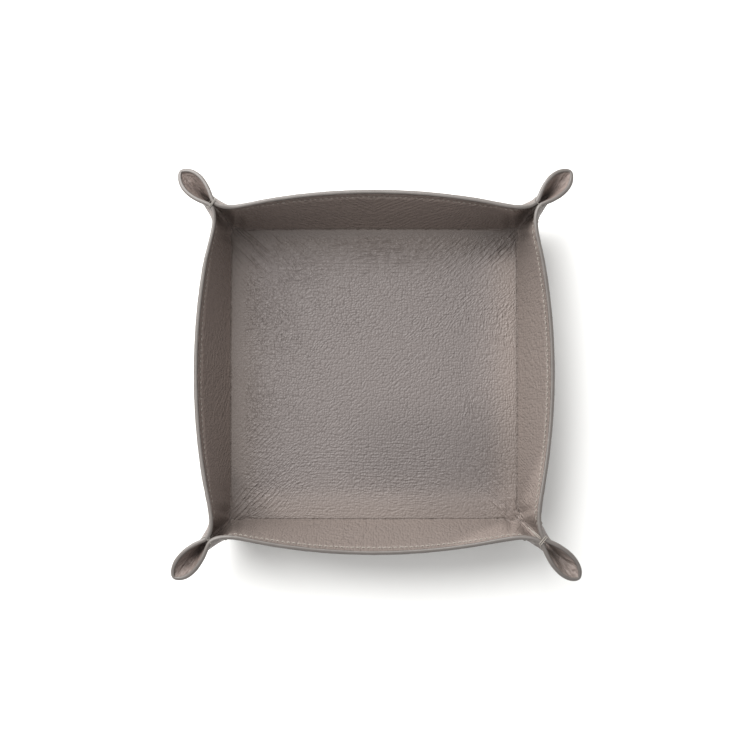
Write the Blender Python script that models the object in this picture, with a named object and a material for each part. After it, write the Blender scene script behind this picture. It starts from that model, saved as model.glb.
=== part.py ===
"""Square leather valet tray: two leathers over boards, its corners pinched and sewn into cupped ears.

The tray is drawn as one middle surface, half way through the leather. Four walls rise from a square
crease and bow outwards. At each corner the surplus leather folds along a keel that rises on the
diagonal, is pinched together at the rim, and opens again beyond the pinch as a leaf-shaped ear.
Every piece is then an offset of that surface, to its own thickness and clearance.
"""

import math

import bpy
import numpy as np

# The tray's main sizes, in metres. The rim stands outside the crease by the overhang, and its bow
# is a plain arc over a share of the base.
BASE_HALF = 0.0837
WALL_SLANT = 0.0411
RIM_OVERHANG = 0.0159
RIM_BOW_RADIUS = 0.341
RIM_BOW_END_SHARE = 0.79
CREASE_CORNER_RADIUS = 0.0050
# The fold's lowest line climbs at the keel's angle, then turns to the ear's flatter one.
KEEL_RISE = math.radians(53.5)
EAR_KEEL_RISE = math.radians(16)
KEEL_TURN_BEFORE_PINCH = 0.0010
KEEL_TURN_RUN = 0.0180
# The tray is a little longer front to back than from side to side.
DEPTH_RATIO = 1.012

# The pinch, outside the corner of the base and above the rim, and the ear beyond it.
PINCH_OVERHANG = 0.01283
PINCH_ABOVE_RIM = 0.0025
EAR_LENGTH = 0.0270
EAR_HALF_WIDTH = 0.0057
EAR_WIDEST_SHARE = 0.60
EAR_SIDE_DROP = 0.0030
EAR_FALL = math.radians(17)
FAN_RADIUS = 0.0085

# Materials and the clearances that keep glued layers apart.
LEATHER = 0.0010
GLUE_GAP = 0.0003
BASE_BOARD = 0.0012
WALL_BOARD = 0.0005
SLIT = 0.0004
BASE_BOARD_INSET = 0.0022
WALL_BOARD_INSET = 0.0022
WALL_BOARD_TOP_MARGIN = 0.0065
WALL_BOARD_END_MARGIN = 0.0212
HINGE_FLAT = 0.0006
HINGE_SLOPE = 0.0012
BOARD_END_SLOPE = 0.004

# The seam under the rim, the edge paint and the corner tacks.
SEAM_INSET = 0.0038
SEAM_END = 0.0080
THREAD_RADIUS = 0.0003
PAINT_HEIGHT = 0.0005
TACK_RADIUS = 0.00035
TACK_DEPTH = 0.0042
TACK_HOLE_RADIUS = 0.0007
TACK_HOLE_REACH = 0.0080
THREAD_SIDES = 5
DRILL_SIDES = 8
# The bead of edge paint: across in half thicknesses of the wall, up in paint heights.
PAINT_PROFILE_SHARES = ((-1, 0), (1, 0), (1, 0.5), (0.45, 1), (-0.45, 1), (-1, 0.5))

# How far hand sewing moved each pinch and each ear's tip from the drawing: outwards in x, and in y.
CORNER_PULL = {
    (-1, 1): ((-0.0024, -0.0003), (-0.0033, -0.0006)),
    (1, 1): ((-0.0013, -0.0003), (-0.0016, -0.0006)),
    (-1, -1): ((-0.0007, -0.0003), (-0.0001, 0.0014)),
    (1, -1): ((0.0008, 0.0000), (0.0023, 0.0018)),
}
CORNER_PULL_START_SHARE = 0.82

# Handles of the rim's curves, as shares of the straight line from end to end.
BOW_HANDLE_SHARE = 0.48
PINCH_INNER_HANDLE_SHARE = 0.24
PINCH_OUTER_HANDLE_SHARE = 0.14
EAR_SIDE_HANDLE_SHARE = 0.50
EAR_FRONT_HANDLE_SHARE = 0.58
EAR_TIP_HANDLE_SHARE = 0.12

# Where the folds change, as shares of the rim from mid wall to the pinch, then of the ear's rim.
FADE_START_SHARE = 0.77
CORNER_SHARE = 0.835
SQUARE_SHARE = 0.93
FAN_START_SHARE = 0.42
FORWARD_START_SHARE = 0.30
LEAN_END_SHARE = 0.60
PINCH_LEAN = math.radians(-10)
EAR_LEAN = math.radians(24)
TIP_FORWARD = math.radians(72)

# A cross line runs from the base to the rim. Its handles, as shares of its length: the lower one
# is shorter near the pinch, where the fold is tight.
RISE_HANDLE_SHARE = 0.36
LEVEL_RIM_SHARES = (0.0, 0.62, CORNER_SHARE, 0.91, 1.0)
LEVEL_EAR_SHARES = (0.45, 1.0)
LEVEL_HANDLE_SHARES = (0.36, 0.36, 0.12, 0.17, 0.24, 0.32, 0.36)

# Where cross lines start and end: shares of the rim and of the crease up to the corner, then of
# the rim and of the keel up to the pinch, then of the ear's rim and of the keel beyond it.
RUN_RIM_SHARES = (0.0, 0.50, 0.72, CORNER_SHARE, 0.91, 1.0)
RUN_WALL_SHARES = (0.0, 0.50, 0.745)
RUN_KEEL_SHARES = (0.0, 0.38, 0.77)
RUN_EAR_SHARES = (0.22, 0.45, 0.68, 1.0)
RUN_EAR_KEEL_SHARES = (0.885, 0.962, 0.992, 1.0)

# Mesh columns along the rim and rows up the wall, as shares of the lengths that they divide.
WALL_COLUMN_SHARES = (0.0, 0.25, 0.48, 0.62, 0.675, 0.725, 0.77, 0.805)
CORNER_COLUMN_SHARES = (CORNER_SHARE, 0.87, 0.905, 0.94, 0.97, 1.0)
EAR_COLUMN_SHARES = (0.11, 0.25, 0.40, 0.56, 0.72, 0.87, 1.0)
WALL_ROW_SHARES = (0.29, 0.58)
FLOOR_ROW_SHARES = (0.0, 0.6)
WALL_BOARD_ROWS = 4
BEND_STEPS = 4
PATH_STEPS = 400
WELD_DISTANCE = 1e-7
MITRE_HOLD_SHARE = 0.02
NORMAL_STEP_SHARE = 0.001
SHARP_EDGE = math.radians(40)

# In order round the tray, a quarter turn apart.
WALLS = ("right", "back", "left", "front")
CORNERS = ("back_right", "back_left", "front_left", "front_right")
HALF_WALLS = 2 * len(WALLS)

# Plain colours, as red, green, blue and roughness.
LINING_LOOK = (0.29, 0.25, 0.24, 0.55)
OUTER_LOOK = (0.24, 0.21, 0.20, 0.55)
CARD_LOOK = (0.45, 0.40, 0.33, 0.80)
THREAD_LOOK = (0.48, 0.43, 0.38, 0.70)
PAINT_LOOK = (0.25, 0.22, 0.21, 0.40)

# Derived sizes. A reach is measured from the centre, along the diagonal.
ROOT2 = math.sqrt(2)
HALF_GLUE = GLUE_GAP / 2
STACK_HALF = HALF_GLUE + LEATHER
FLOOR_LIFT = LEATHER + GLUE_GAP + BASE_BOARD / 2
PINCH_HALF = STACK_HALF + SLIT / 2
CREASE_END = BASE_HALF - CREASE_CORNER_RADIUS
CORNER_REACH = ROOT2 * BASE_HALF
KEEL_START = CORNER_REACH - (ROOT2 - 1) * CREASE_CORNER_RADIUS
KEEL_BLEND = 2 * (CORNER_REACH - KEEL_START)
RIM_HALF = BASE_HALF + RIM_OVERHANG
RIM_BOW_END = RIM_BOW_END_SHARE * BASE_HALF
RIM_HEIGHT = FLOOR_LIFT + math.sqrt(WALL_SLANT**2 - RIM_OVERHANG**2)
PINCH_REACH = CORNER_REACH + PINCH_OVERHANG
PINCH_HEIGHT = RIM_HEIGHT + PINCH_ABOVE_RIM
EAR_REACH = PINCH_REACH + EAR_LENGTH
EAR_WIDEST_REACH = PINCH_REACH + EAR_WIDEST_SHARE * EAR_LENGTH
EAR_WIDEST_HEIGHT = PINCH_HEIGHT - EAR_SIDE_DROP
WALL_BOARD_HALF = BASE_HALF - WALL_BOARD_END_MARGIN
KEEL_TURN_START = PINCH_REACH - KEEL_TURN_BEFORE_PINCH
KEEL_TANGENT = math.tan(KEEL_RISE)
EAR_KEEL_TANGENT = math.tan(EAR_KEEL_RISE)
TACK_BEND = 3 * TACK_RADIUS
TACK_CLEAR = STACK_HALF + GLUE_GAP + TACK_RADIUS
TACK_TOP = PINCH_HEIGHT + GLUE_GAP + PAINT_HEIGHT + GLUE_GAP + TACK_RADIUS
SEAM_LIFT = STACK_HALF + GLUE_GAP + THREAD_RADIUS

DIAGONAL = np.array((1.0, 1.0, 0.0)) / ROOT2
ACROSS = np.array((1.0, -1.0, 0.0)) / ROOT2
UP = np.array((0.0, 0.0, 1.0))


def ease(x):
    """Rise smoothly from 0 to 1 as x goes from 0 to 1."""
    x = np.clip(x, 0.0, 1.0)
    return x * x * (3 - 2 * x)


def unit(vectors):
    """Scale vectors to length one."""
    return vectors / np.linalg.norm(vectors, axis=-1, keepdims=True)


def bezier(p0, p1, p2, p3, u):
    """Cubic curve from p0 to p3 with handles p1 and p2."""
    u = np.asarray(u)[..., None]
    v = 1 - u
    return v**3 * p0 + 3 * v * v * u * p1 + 3 * v * u * u * p2 + u**3 * p3


def smooth_through(knots, values, at):
    """Cubic curve through the values; its slope at a knot is that of the parabola through its neighbours."""
    k, v, at = np.asarray(knots, float), np.asarray(values, float), np.asarray(at, float)
    step = np.diff(k)
    rise = np.diff(v) / step
    slope = np.empty_like(v)
    slope[1:-1] = (rise[:-1] * step[1:] + rise[1:] * step[:-1]) / (step[1:] + step[:-1])
    slope[0], slope[-1] = rise[0], 0.0
    i = np.clip(np.searchsorted(k, at, side="right") - 1, 0, len(step) - 1)
    h, u = step[i], (at - k[i]) / step[i]
    start = (1 + 2 * u) * (1 - u) ** 2 * v[i] + u * (1 - u) ** 2 * h * slope[i]
    end = u * u * (3 - 2 * u) * v[i + 1] + u * u * (u - 1) * h * slope[i + 1]
    return start + end


class Path:
    """A fine line of points that is read by the distance along it."""

    def __init__(self, points):
        self.points = points
        steps = np.linalg.norm(np.diff(points, axis=0), axis=1)
        self.distance = np.concatenate(([0.0], np.cumsum(steps)))

    def at(self, distance):
        """Give the points at these distances."""
        return np.stack([np.interp(distance, self.distance, c) for c in self.points.T], axis=-1)


def spot(reach, side, height):
    """Give a point by its reach along the diagonal, its distance to one side of it and its height."""
    return DIAGONAL * reach + ACROSS * side + UP * height


def keel_slope(reach):
    """Slope of the fold's lowest line: level, then the keel's, then the ear's, with a bend between each."""
    start = np.clip((reach - KEEL_START) / KEEL_BLEND, 0.0, 1.0)
    turn = ease((reach - KEEL_TURN_START) / KEEL_TURN_RUN)
    return start * (KEEL_TANGENT + (EAR_KEEL_TANGENT - KEEL_TANGENT) * turn)


def keel_height(reach):
    """Height of the fold's lowest line: the sum of its slope, over a linear and an eased bend."""
    run = np.maximum(reach - KEEL_START, 0.0)
    bend = np.minimum(run, KEEL_BLEND) ** 2 / (2 * KEEL_BLEND) + np.maximum(run - KEEL_BLEND, 0.0)
    u = np.maximum((reach - KEEL_TURN_START) / KEEL_TURN_RUN, 0.0)
    turn = np.where(u < 1, u**3 - u**4 / 2, u - 0.5) * KEEL_TURN_RUN
    return FLOOR_LIFT + KEEL_TANGENT * bend + (EAR_KEEL_TANGENT - KEEL_TANGENT) * turn


def rim_path():
    """Make the rim of half a wall: the bowed stretch, the curve into the pinch, and the ear's outline."""
    u = np.linspace(0, 1, PATH_STEPS)
    y = u * RIM_BOW_END
    x = RIM_HALF - y * y / (2 * RIM_BOW_RADIUS)
    bow = np.stack((x, y, FLOOR_LIFT + np.sqrt(WALL_SLANT**2 - (x - BASE_HALF) ** 2)), axis=1)
    pinch = spot(PINCH_REACH, PINCH_HALF, PINCH_HEIGHT)
    widest = spot(EAR_WIDEST_REACH, EAR_HALF_WIDTH, EAR_WIDEST_HEIGHT)
    tip = spot(EAR_REACH, 0.0, keel_height(EAR_REACH))
    falling = DIAGONAL * math.cos(EAR_FALL) - UP * math.sin(EAR_FALL)

    chord = np.linalg.norm(pinch - bow[-1])
    leaving = unit(bow[-1] - bow[-2])
    inner = bezier(
        bow[-1],
        bow[-1] + leaving * chord * BOW_HANDLE_SHARE,
        pinch - DIAGONAL * chord * PINCH_INNER_HANDLE_SHARE,
        pinch,
        u,
    )
    chord = np.linalg.norm(widest - pinch)
    side = bezier(
        pinch,
        pinch + DIAGONAL * chord * PINCH_OUTER_HANDLE_SHARE,
        widest - falling * chord * EAR_SIDE_HANDLE_SHARE,
        widest,
        u,
    )
    chord = np.linalg.norm(tip - widest)
    front = bezier(
        widest,
        widest + falling * chord * EAR_FRONT_HANDLE_SHARE,
        tip + ACROSS * chord * EAR_TIP_HANDLE_SHARE,
        tip,
        u,
    )
    rim = Path(np.concatenate((bow, inner[1:], side[1:], front[1:])))
    return rim, rim.distance[2 * (PATH_STEPS - 1)]


def base_path():
    """Make the line where the walls start: the crease, its rounded corner, and the keel out to the fan."""
    u = np.linspace(0, 1, PATH_STEPS)
    crease = np.stack((np.full_like(u, BASE_HALF), u * CREASE_END, np.full_like(u, FLOOR_LIFT)), axis=1)
    x = CREASE_END + CREASE_CORNER_RADIUS * np.cos(u * math.pi / 4)
    y = CREASE_END + CREASE_CORNER_RADIUS * np.sin(u * math.pi / 4)
    corner = np.stack((x, y, np.full_like(u, FLOOR_LIFT)), axis=1)
    reach = KEEL_START + u * (EAR_REACH - FAN_RADIUS * math.cos(EAR_KEEL_RISE) - KEEL_START)
    keel = DIAGONAL * reach[:, None] + UP * keel_height(reach)[:, None]
    base = Path(np.concatenate((crease, corner[1:], keel[1:])))
    return base, base.distance[2 * (PATH_STEPS - 1)]


RIM, PINCH_AT = rim_path()
BASE, CORNER_AT = base_path()
RIM_LENGTH = RIM.distance[-1]
EAR_RIM = RIM_LENGTH - PINCH_AT
KEEL_LENGTH = BASE.distance[-1] - CORNER_AT


def rim_distances(rim_shares, ear_shares):
    """Distances along the rim, from shares of it up to the pinch and shares of it beyond."""
    return np.concatenate((np.multiply(rim_shares, PINCH_AT), PINCH_AT + np.multiply(ear_shares, EAR_RIM)))


def run_distances():
    """Distances along the base at which the cross lines of RUN_RIM_SHARES and RUN_EAR_SHARES start."""
    keel = np.multiply(RUN_KEEL_SHARES + RUN_EAR_KEEL_SHARES, KEEL_LENGTH)
    return np.concatenate((np.multiply(RUN_WALL_SHARES, PINCH_AT), CORNER_AT + keel))


RUN_KNOTS = rim_distances(RUN_RIM_SHARES, RUN_EAR_SHARES)
RUN_VALUES = run_distances()
LEVEL_KNOTS = rim_distances(LEVEL_RIM_SHARES, LEVEL_EAR_SHARES)


def cross_lines(rim_at):
    """Give the curve from the base to the rim at each distance along the rim, as four control points."""
    base_at = smooth_through(RUN_KNOTS, RUN_VALUES, rim_at)
    start, end = BASE.at(base_at), RIM.at(rim_at)
    chord = np.linalg.norm(end - start, axis=1, keepdims=True)
    straight = (end - start) / chord

    # On the keel a line leaves level, square to the keel, and past it fans out round the ear's tip.
    reach = start @ DIAGONAL
    slope = keel_slope(reach)[:, None]
    keel = unit(DIAGONAL + UP * slope)
    corner_at, square_at = CORNER_SHARE * PINCH_AT, SQUARE_SHARE * PINCH_AT
    fan_at = PINCH_AT + FAN_START_SHARE * EAR_RIM
    turn = math.pi / 4 * (1 - ease((rim_at - corner_at) / (square_at - corner_at)))
    turn = turn + math.pi / 2 * ease((rim_at - fan_at) / (RIM_LENGTH - fan_at))
    soft = ACROSS * np.cos(turn)[:, None] + keel * np.sin(turn)[:, None]
    fade_at = FADE_START_SHARE * PINCH_AT
    fade = ease((rim_at - fade_at) / (corner_at - fade_at))[:, None]
    leaving = unit(straight * (1 - fade) + soft * fade)

    # At the rim it leans inwards at the pinch, outwards round the ear, and forwards at the tip.
    off_keel = unit(UP - DIAGONAL * slope)
    out = (rim_at - PINCH_AT) / EAR_RIM
    lean = PINCH_LEAN + (EAR_LEAN - PINCH_LEAN) * ease(out / LEAN_END_SHARE)
    lean = lean * (1 - ease((out - LEAN_END_SHARE) / (1 - LEAN_END_SHARE)))
    lean = lean[:, None]
    forward = TIP_FORWARD * ease((out - FORWARD_START_SHARE) / (1 - FORWARD_START_SHARE))
    forward = forward[:, None]
    leaning = np.cos(lean) * off_keel + np.sin(lean) * ACROSS
    rising = np.cos(forward) * leaning + np.sin(forward) * keel
    take = ease((rim_at - corner_at) / (PINCH_AT - corner_at))[:, None]
    arriving = unit(straight * (1 - take) + rising * take)
    level = smooth_through(LEVEL_KNOTS, LEVEL_HANDLE_SHARES, rim_at)[:, None]
    low, high = start + leaving * chord * level, end - arriving * chord * RISE_HANDLE_SHARE
    return start, low, high, end


def surface(rim_at, up_wall):
    """Points of the middle surface: columns by distance along the rim, rows by share of the way up."""
    p0, p1, p2, p3 = (p[:, None, :] for p in cross_lines(np.asarray(rim_at, float)))
    return bezier(p0, p1, p2, p3, np.asarray(up_wall, float)[None, :])


def settle(points):
    """Stretch the tray to its depth and pull each corner: first its pinch, and beyond it its tip."""
    out = points * np.array((1.0, DEPTH_RATIO, 1.0))
    for (sx, sy), (pinch, tip) in CORNER_PULL.items():
        reach = (sx * points[:, 0] + sy * points[:, 1]) / ROOT2
        first = ease((reach / PINCH_REACH - CORNER_PULL_START_SHARE) / (1 - CORNER_PULL_START_SHARE))
        second = ease((reach - PINCH_REACH) / EAR_LENGTH)
        for axis, sign in ((0, sx), (1, sy)):
            out[:, axis] += sign * (pinch[axis] * first + (tip[axis] - pinch[axis]) * second)
    return out


def octant(points, index):
    """Place points of the first half wall in one of the eight half walls, going round the tray."""
    x, y, z = points[..., 0], points[..., 1], points[..., 2]
    if index % 2:
        x, y = y, x
    for _ in range(index // 2):
        x, y = -y, x
    return np.stack((x, y, z), axis=-1)


def board_thickness_share(distance):
    """Share of a board's thickness that parts the leathers this far from a crease."""
    return np.clip((distance - HINGE_FLAT) / HINGE_SLOPE, 0.0, 1.0)


def half_gap_on_wall(rim_at, up_wall):
    """Half the room between the leathers on a wall: the glue, and the board where there is one."""
    along = np.clip((WALL_BOARD_HALF + HINGE_FLAT + BOARD_END_SLOPE - rim_at) / BOARD_END_SLOPE, 0.0, 1.0)
    low = board_thickness_share(up_wall * WALL_SLANT)
    margin = WALL_BOARD_TOP_MARGIN - HINGE_SLOPE
    high = np.clip(((1 - up_wall) * WALL_SLANT - margin + HINGE_SLOPE) / HINGE_SLOPE, 0.0, 1.0)
    extra = (WALL_BOARD + GLUE_GAP) / 2
    return HALF_GLUE + extra * along[:, None] * (low * high)[None, :]


def column_places():
    """Distances along the rim of the mesh columns, and how many of them bound the floor."""
    places = rim_distances(WALL_COLUMN_SHARES + CORNER_COLUMN_SHARES, EAR_COLUMN_SHARES)
    return places, len(WALL_COLUMN_SHARES) + 1


def row_places():
    """Shares of the way up the wall of the mesh rows."""
    low = (0.0, HINGE_FLAT, HINGE_FLAT + HINGE_SLOPE)
    top = WALL_SLANT - WALL_BOARD_TOP_MARGIN
    high = (top, top + 2 * HINGE_SLOPE, WALL_SLANT)
    return np.concatenate((np.divide(low, WALL_SLANT), WALL_ROW_SHARES, np.divide(high, WALL_SLANT)))


def middle_mesh():
    """Build the welded middle surface: its points, half the gap at each, its faces and its rim."""
    columns, on_floor = column_places()
    rows = row_places()
    wall = surface(columns, rows)
    wall_gap = half_gap_on_wall(columns, rows)
    insets = np.array((0.0, HINGE_FLAT, HINGE_FLAT + HINGE_SLOPE))
    shrink = np.concatenate((FLOOR_ROW_SHARES, (1 - insets / BASE_HALF)[::-1]))
    base = wall[:on_floor, 0] * np.array((1.0, 1.0, 0.0))
    floor = base[:, None, :] * shrink[None, :, None] + UP * FLOOR_LIFT
    board_share = board_thickness_share((1 - shrink) * BASE_HALF)
    floor_gap = HALF_GLUE + (BASE_BOARD + GLUE_GAP) / 2 * np.broadcast_to(board_share, floor.shape[:2])

    points, gaps, faces, rim = [], [], [], []
    for k in range(HALF_WALLS):
        for grid, gap in ((floor, floor_gap), (wall, wall_gap)):
            first = sum(len(p) for p in points)
            n, m = grid.shape[:2]
            index = first + np.arange(n * m).reshape(n, m)
            points.append(octant(grid, k).reshape(-1, 3))
            gaps.append(gap.reshape(-1))
            corners = (index[:-1, :-1], index[:-1, 1:], index[1:, 1:], index[1:, :-1])
            quads = np.stack(corners, axis=-1).reshape(-1, 4)
            faces.append(quads[:, ::-1] if k % 2 else quads[:, (3, 0, 1, 2)])
        rim.extend(index[:-1, -1] if k % 2 == 0 else index[:0:-1, -1])
    points, gaps = np.concatenate(points), np.concatenate(gaps)
    keys = np.round(points / WELD_DISTANCE).astype(np.int64)
    _, kept, welded = np.unique(keys, axis=0, return_index=True, return_inverse=True)
    welded = welded.reshape(-1)
    return points[kept], gaps[kept], welded[np.concatenate(faces)], welded[np.array(rim)]


def offsets(points, faces):
    """Step at each point that moves every face round it out by one unit, so creases keep their mitres."""
    a, b, c, d = (points[faces[:, i]] for i in range(4))
    normal = unit(np.cross(c - a, d - b))
    total = np.zeros_like(points)
    spread = np.zeros((len(points), 3, 3))
    for i in range(4):
        np.add.at(total, faces[:, i], normal)
        np.add.at(spread, faces[:, i], normal[:, :, None] * normal[:, None, :])
    mean = unit(total)
    spread += MITRE_HOLD_SHARE * np.eye(3)
    total += MITRE_HOLD_SHARE * mean
    return np.linalg.solve(spread, total[..., None])[..., 0], mean


def finish(name, look):
    """Make a plain material of one colour and roughness."""
    material = bpy.data.materials.new(name)
    material.use_nodes = True
    shader = material.node_tree.nodes["Principled BSDF"]
    shader.inputs["Base Color"].default_value = (*look[:3], 1.0)
    shader.inputs["Roughness"].default_value = look[3]
    shader.inputs["Metallic"].default_value = 0.0
    return material


def add_object(name, points, faces, look):
    """Make a smooth-shaded mesh object, with a material of its own, from points and faces."""
    mesh = bpy.data.meshes.new(name)
    mesh.from_pydata([tuple(p) for p in points], [], [tuple(map(int, f)) for f in faces])
    mesh.validate()
    mesh.shade_smooth()
    mesh.set_sharp_from_angle(angle=SHARP_EDGE)
    mesh.materials.append(finish(name, look))
    made = bpy.data.objects.new(name, mesh)
    bpy.context.collection.objects.link(made)
    return made


def shell(name, top, bottom, faces, loop, look):
    """Make a closed skin between two copies of a surface, joined along the loop round its edge."""
    n = len(top)
    after = np.roll(loop, -1)
    edge = np.stack((loop, loop + n, after + n, after), axis=1)
    halves = np.concatenate((faces[:, (0, 1, 2)], faces[:, (0, 2, 3)]))
    halves = [half for half in halves.tolist() if len(set(half)) == 3]
    every = halves + [[n + i for i in reversed(half)] for half in halves] + edge.tolist()
    return add_object(name, settle(np.concatenate((top, bottom))), every, look)


def cord_rings(points, ahead, face_way, radius, sides):
    """Give the rings of a round cord through the points, each turned by the way the cord faces."""
    side = unit(np.cross(ahead, face_way))
    over = np.cross(ahead, side)
    turn = np.arange(sides) * 2 * math.pi / sides
    ring = side[:, None] * np.cos(turn)[:, None] + over[:, None] * np.sin(turn)[:, None]
    return points[:, None] + ring * radius


def straight_cord(name, points, radius, sides, look):
    """Make a level cord with flat ends."""
    ahead = np.gradient(points, axis=0)
    return ring_solid(name, cord_rings(points, unit(ahead), UP, radius, sides), look, False)


def closed_cord(name, points, face_way, radius, sides, look):
    """Make a ring of cord that lies in one plane, square to the way it faces."""
    ahead = np.roll(points, -1, axis=0) - np.roll(points, 1, axis=0)
    return ring_solid(name, cord_rings(points, unit(ahead), face_way, radius, sides), look, True)


def ring_solid(name, verts, look, closed):
    """Skin a row of rings of points, each joined to the next, with end caps unless the row is closed."""
    n, m = verts.shape[:2]
    index = np.arange(n * m).reshape(n, m)
    if closed:
        index = np.concatenate((index, index[:1]))
    turned = np.roll(index, -1, axis=1)
    quads = np.stack((index[:-1], turned[:-1], turned[1:], index[1:]), axis=-1).reshape(-1, 4)
    faces = [tuple(q) for q in quads]
    if not closed:
        faces += [tuple(index[0][::-1]), tuple(index[-1])]
    return add_object(name, settle(verts.reshape(-1, 3)), faces, look)


def turned(points, quarter):
    """Turn points of the right wall a number of quarter turns round the centre."""
    return octant(points, 2 * quarter)


def whole_wall(rim_at, up_wall):
    """Points of the whole right wall from front to back, and the surface's steps there."""
    half = surface(rim_at, up_wall)
    mirrored = half[:0:-1] * np.array((1.0, -1.0, 1.0))
    grid = np.concatenate((mirrored, half))
    across, up = np.gradient(grid, axis=0), np.gradient(grid, axis=1)
    return grid, unit(np.cross(up, across))


def make_wall_board(name, quarter):
    """Make one wall's board: a thin bent plate between the leathers."""
    columns, _ = column_places()
    columns = np.append(columns[columns < WALL_BOARD_HALF - HINGE_SLOPE], WALL_BOARD_HALF)
    low, high = WALL_BOARD_INSET / WALL_SLANT, 1 - WALL_BOARD_TOP_MARGIN / WALL_SLANT
    grid, normal = whole_wall(columns, np.linspace(low, high, WALL_BOARD_ROWS))
    n, m = grid.shape[:2]
    index = np.arange(n * m).reshape(n, m)
    corners = (index[:-1, :-1], index[:-1, 1:], index[1:, 1:], index[1:, :-1])
    quads = np.stack(corners, axis=-1)
    quads[n // 2 :] = quads[n // 2 :][..., (3, 0, 1, 2)]
    faces = quads.reshape(-1, 4)
    loop = np.concatenate((index[0, :-1], index[:-1, -1], index[-1, :0:-1], index[:0:-1, 0]))
    top = turned(grid + normal * WALL_BOARD / 2, quarter).reshape(-1, 3)
    bottom = turned(grid - normal * WALL_BOARD / 2, quarter).reshape(-1, 3)
    return shell(name, top, bottom, faces, loop, CARD_LOOK)


def round_the_tray(edge):
    """Join a line of half a wall, from mid wall to the diagonal, into a ring round the tray."""
    parts = [octant(edge, k) for k in range(HALF_WALLS)]
    return np.concatenate([p[:0:-1] if k % 2 else p[:-1] for k, p in enumerate(parts)])


def make_base_board():
    """Make the flat board under the floor, with the crease's rounded corners."""
    scale = 1 - BASE_BOARD_INSET / BASE_HALF
    columns, on_floor = column_places()
    edge = surface(columns[:on_floor], (0.0,))[:, 0] * np.array((scale, scale, 1.0))
    ring = round_the_tray(edge)
    rings = np.stack((ring - UP * BASE_BOARD / 2, ring + UP * BASE_BOARD / 2))
    return ring_solid("base_board", rings, CARD_LOOK, False)


def make_seam(name, quarter, side):
    """Make one wall's thread on the inside (side 1) or the outside (side -1), under the rim."""
    columns, _ = column_places()
    end = PINCH_AT - SEAM_END
    columns = np.append(columns[columns < end - HINGE_SLOPE], end)
    height = 1 - SEAM_INSET / WALL_SLANT
    grid, normal = whole_wall(columns, (height - NORMAL_STEP_SHARE, height, height + NORMAL_STEP_SHARE))
    line = turned(grid[:, 1] + normal[:, 1] * SEAM_LIFT * side, quarter)
    return straight_cord(name, line, THREAD_RADIUS, THREAD_SIDES, THREAD_LOOK)


def make_edge_paint(points, normals, loop):
    """Make the dressed edge: a low rounded bead that caps both leathers all round the rim."""
    rim = points[loop]
    along = unit(np.roll(rim, -1, axis=0) - np.roll(rim, 1, axis=0))
    normal = unit(normals[loop] - along * np.sum(normals[loop] * along, axis=1, keepdims=True))
    outwards = np.cross(along, normal)
    rings = []
    for across, up in PAINT_PROFILE_SHARES:
        rings.append(rim + normal * STACK_HALF * across + outwards * (GLUE_GAP + PAINT_HEIGHT * up))
    return ring_solid("edge_paint", np.stack(rings, axis=1), PAINT_LOOK, True)


def tack_hole():
    """Find the point of the first corner's pinch, below the rim, that its tack's thread goes through."""
    p0, p1, p2, p3 = cross_lines(np.array((PINCH_AT,)))
    line = Path(bezier(p0[0], p1[0], p2[0], p3[0], np.linspace(0, 1, PATH_STEPS)))
    return line.at(line.distance[-1] - TACK_DEPTH)


def make_tack(name, corner):
    """Make one corner's tack: a loop through the hole in both walls and over both rims."""
    hole = tack_hole()
    low_reach, low_side, low_height = hole @ DIAGONAL, hole @ ACROSS + TACK_CLEAR, hole @ UP
    top_side = PINCH_HALF + TACK_CLEAR
    corners = (
        spot(low_reach, low_side, low_height),
        spot(PINCH_REACH, top_side, TACK_TOP),
        spot(PINCH_REACH, -top_side, TACK_TOP),
        spot(low_reach, -low_side, low_height),
    )
    path = []
    for i, here in enumerate(corners):
        before, after = corners[i - 1], corners[(i + 1) % len(corners)]
        start, end = here + unit(before - here) * TACK_BEND, here + unit(after - here) * TACK_BEND
        path.append(bezier(start, here, here, end, np.linspace(0, 1, BEND_STEPS)))
    line, face_way = turned(np.concatenate(path), corner), turned(DIAGONAL, corner)
    return closed_cord(name, line, face_way, TACK_RADIUS, THREAD_SIDES, THREAD_LOOK)


def make_drill(name, corner):
    """Make the drill that pierces both walls at one pinch; it isn't a piece of the tray."""
    hole = tack_hole()
    centre = DIAGONAL * (hole @ DIAGONAL) + UP * hole[2]
    ends = np.stack((centre - ACROSS * TACK_HOLE_REACH, centre + ACROSS * TACK_HOLE_REACH))
    cutter = straight_cord(name, turned(ends, corner), TACK_HOLE_RADIUS, DRILL_SIDES, THREAD_LOOK)
    cutter.hide_render = True
    cutter.display_type = "WIRE"
    return cutter


def drill(leather, cutters):
    """Cut the tack holes through a leather."""
    for cutter in cutters:
        cut = leather.modifiers.new(cutter.name, "BOOLEAN")
        cut.operation = "DIFFERENCE"
        cut.solver = "EXACT"
        cut.object = cutter


def main():
    """Build every piece of the tray."""
    for old in list(bpy.data.objects):
        bpy.data.objects.remove(old, do_unlink=True)

    points, gaps, faces, loop = middle_mesh()
    step, normal = offsets(points, faces)
    near, far = step * gaps[:, None], step * (gaps + LEATHER)[:, None]
    inner = shell("inner_leather", points + far, points + near, faces, loop, LINING_LOOK)
    outer = shell("outer_leather", points - near, points - far, faces, loop, OUTER_LOOK)
    drills = [make_drill(f"{name}_drill", corner) for corner, name in enumerate(CORNERS)]
    drill(inner, drills)
    drill(outer, drills)

    make_edge_paint(points, normal, loop)
    make_base_board()
    for quarter, wall in enumerate(WALLS):
        make_wall_board(f"{wall}_wall_board", quarter)
        make_seam(f"{wall}_needle_thread", quarter, 1)
        make_seam(f"{wall}_bobbin_thread", quarter, -1)
    for corner, name in enumerate(CORNERS):
        make_tack(f"{name}_tack", corner)


main()
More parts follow.
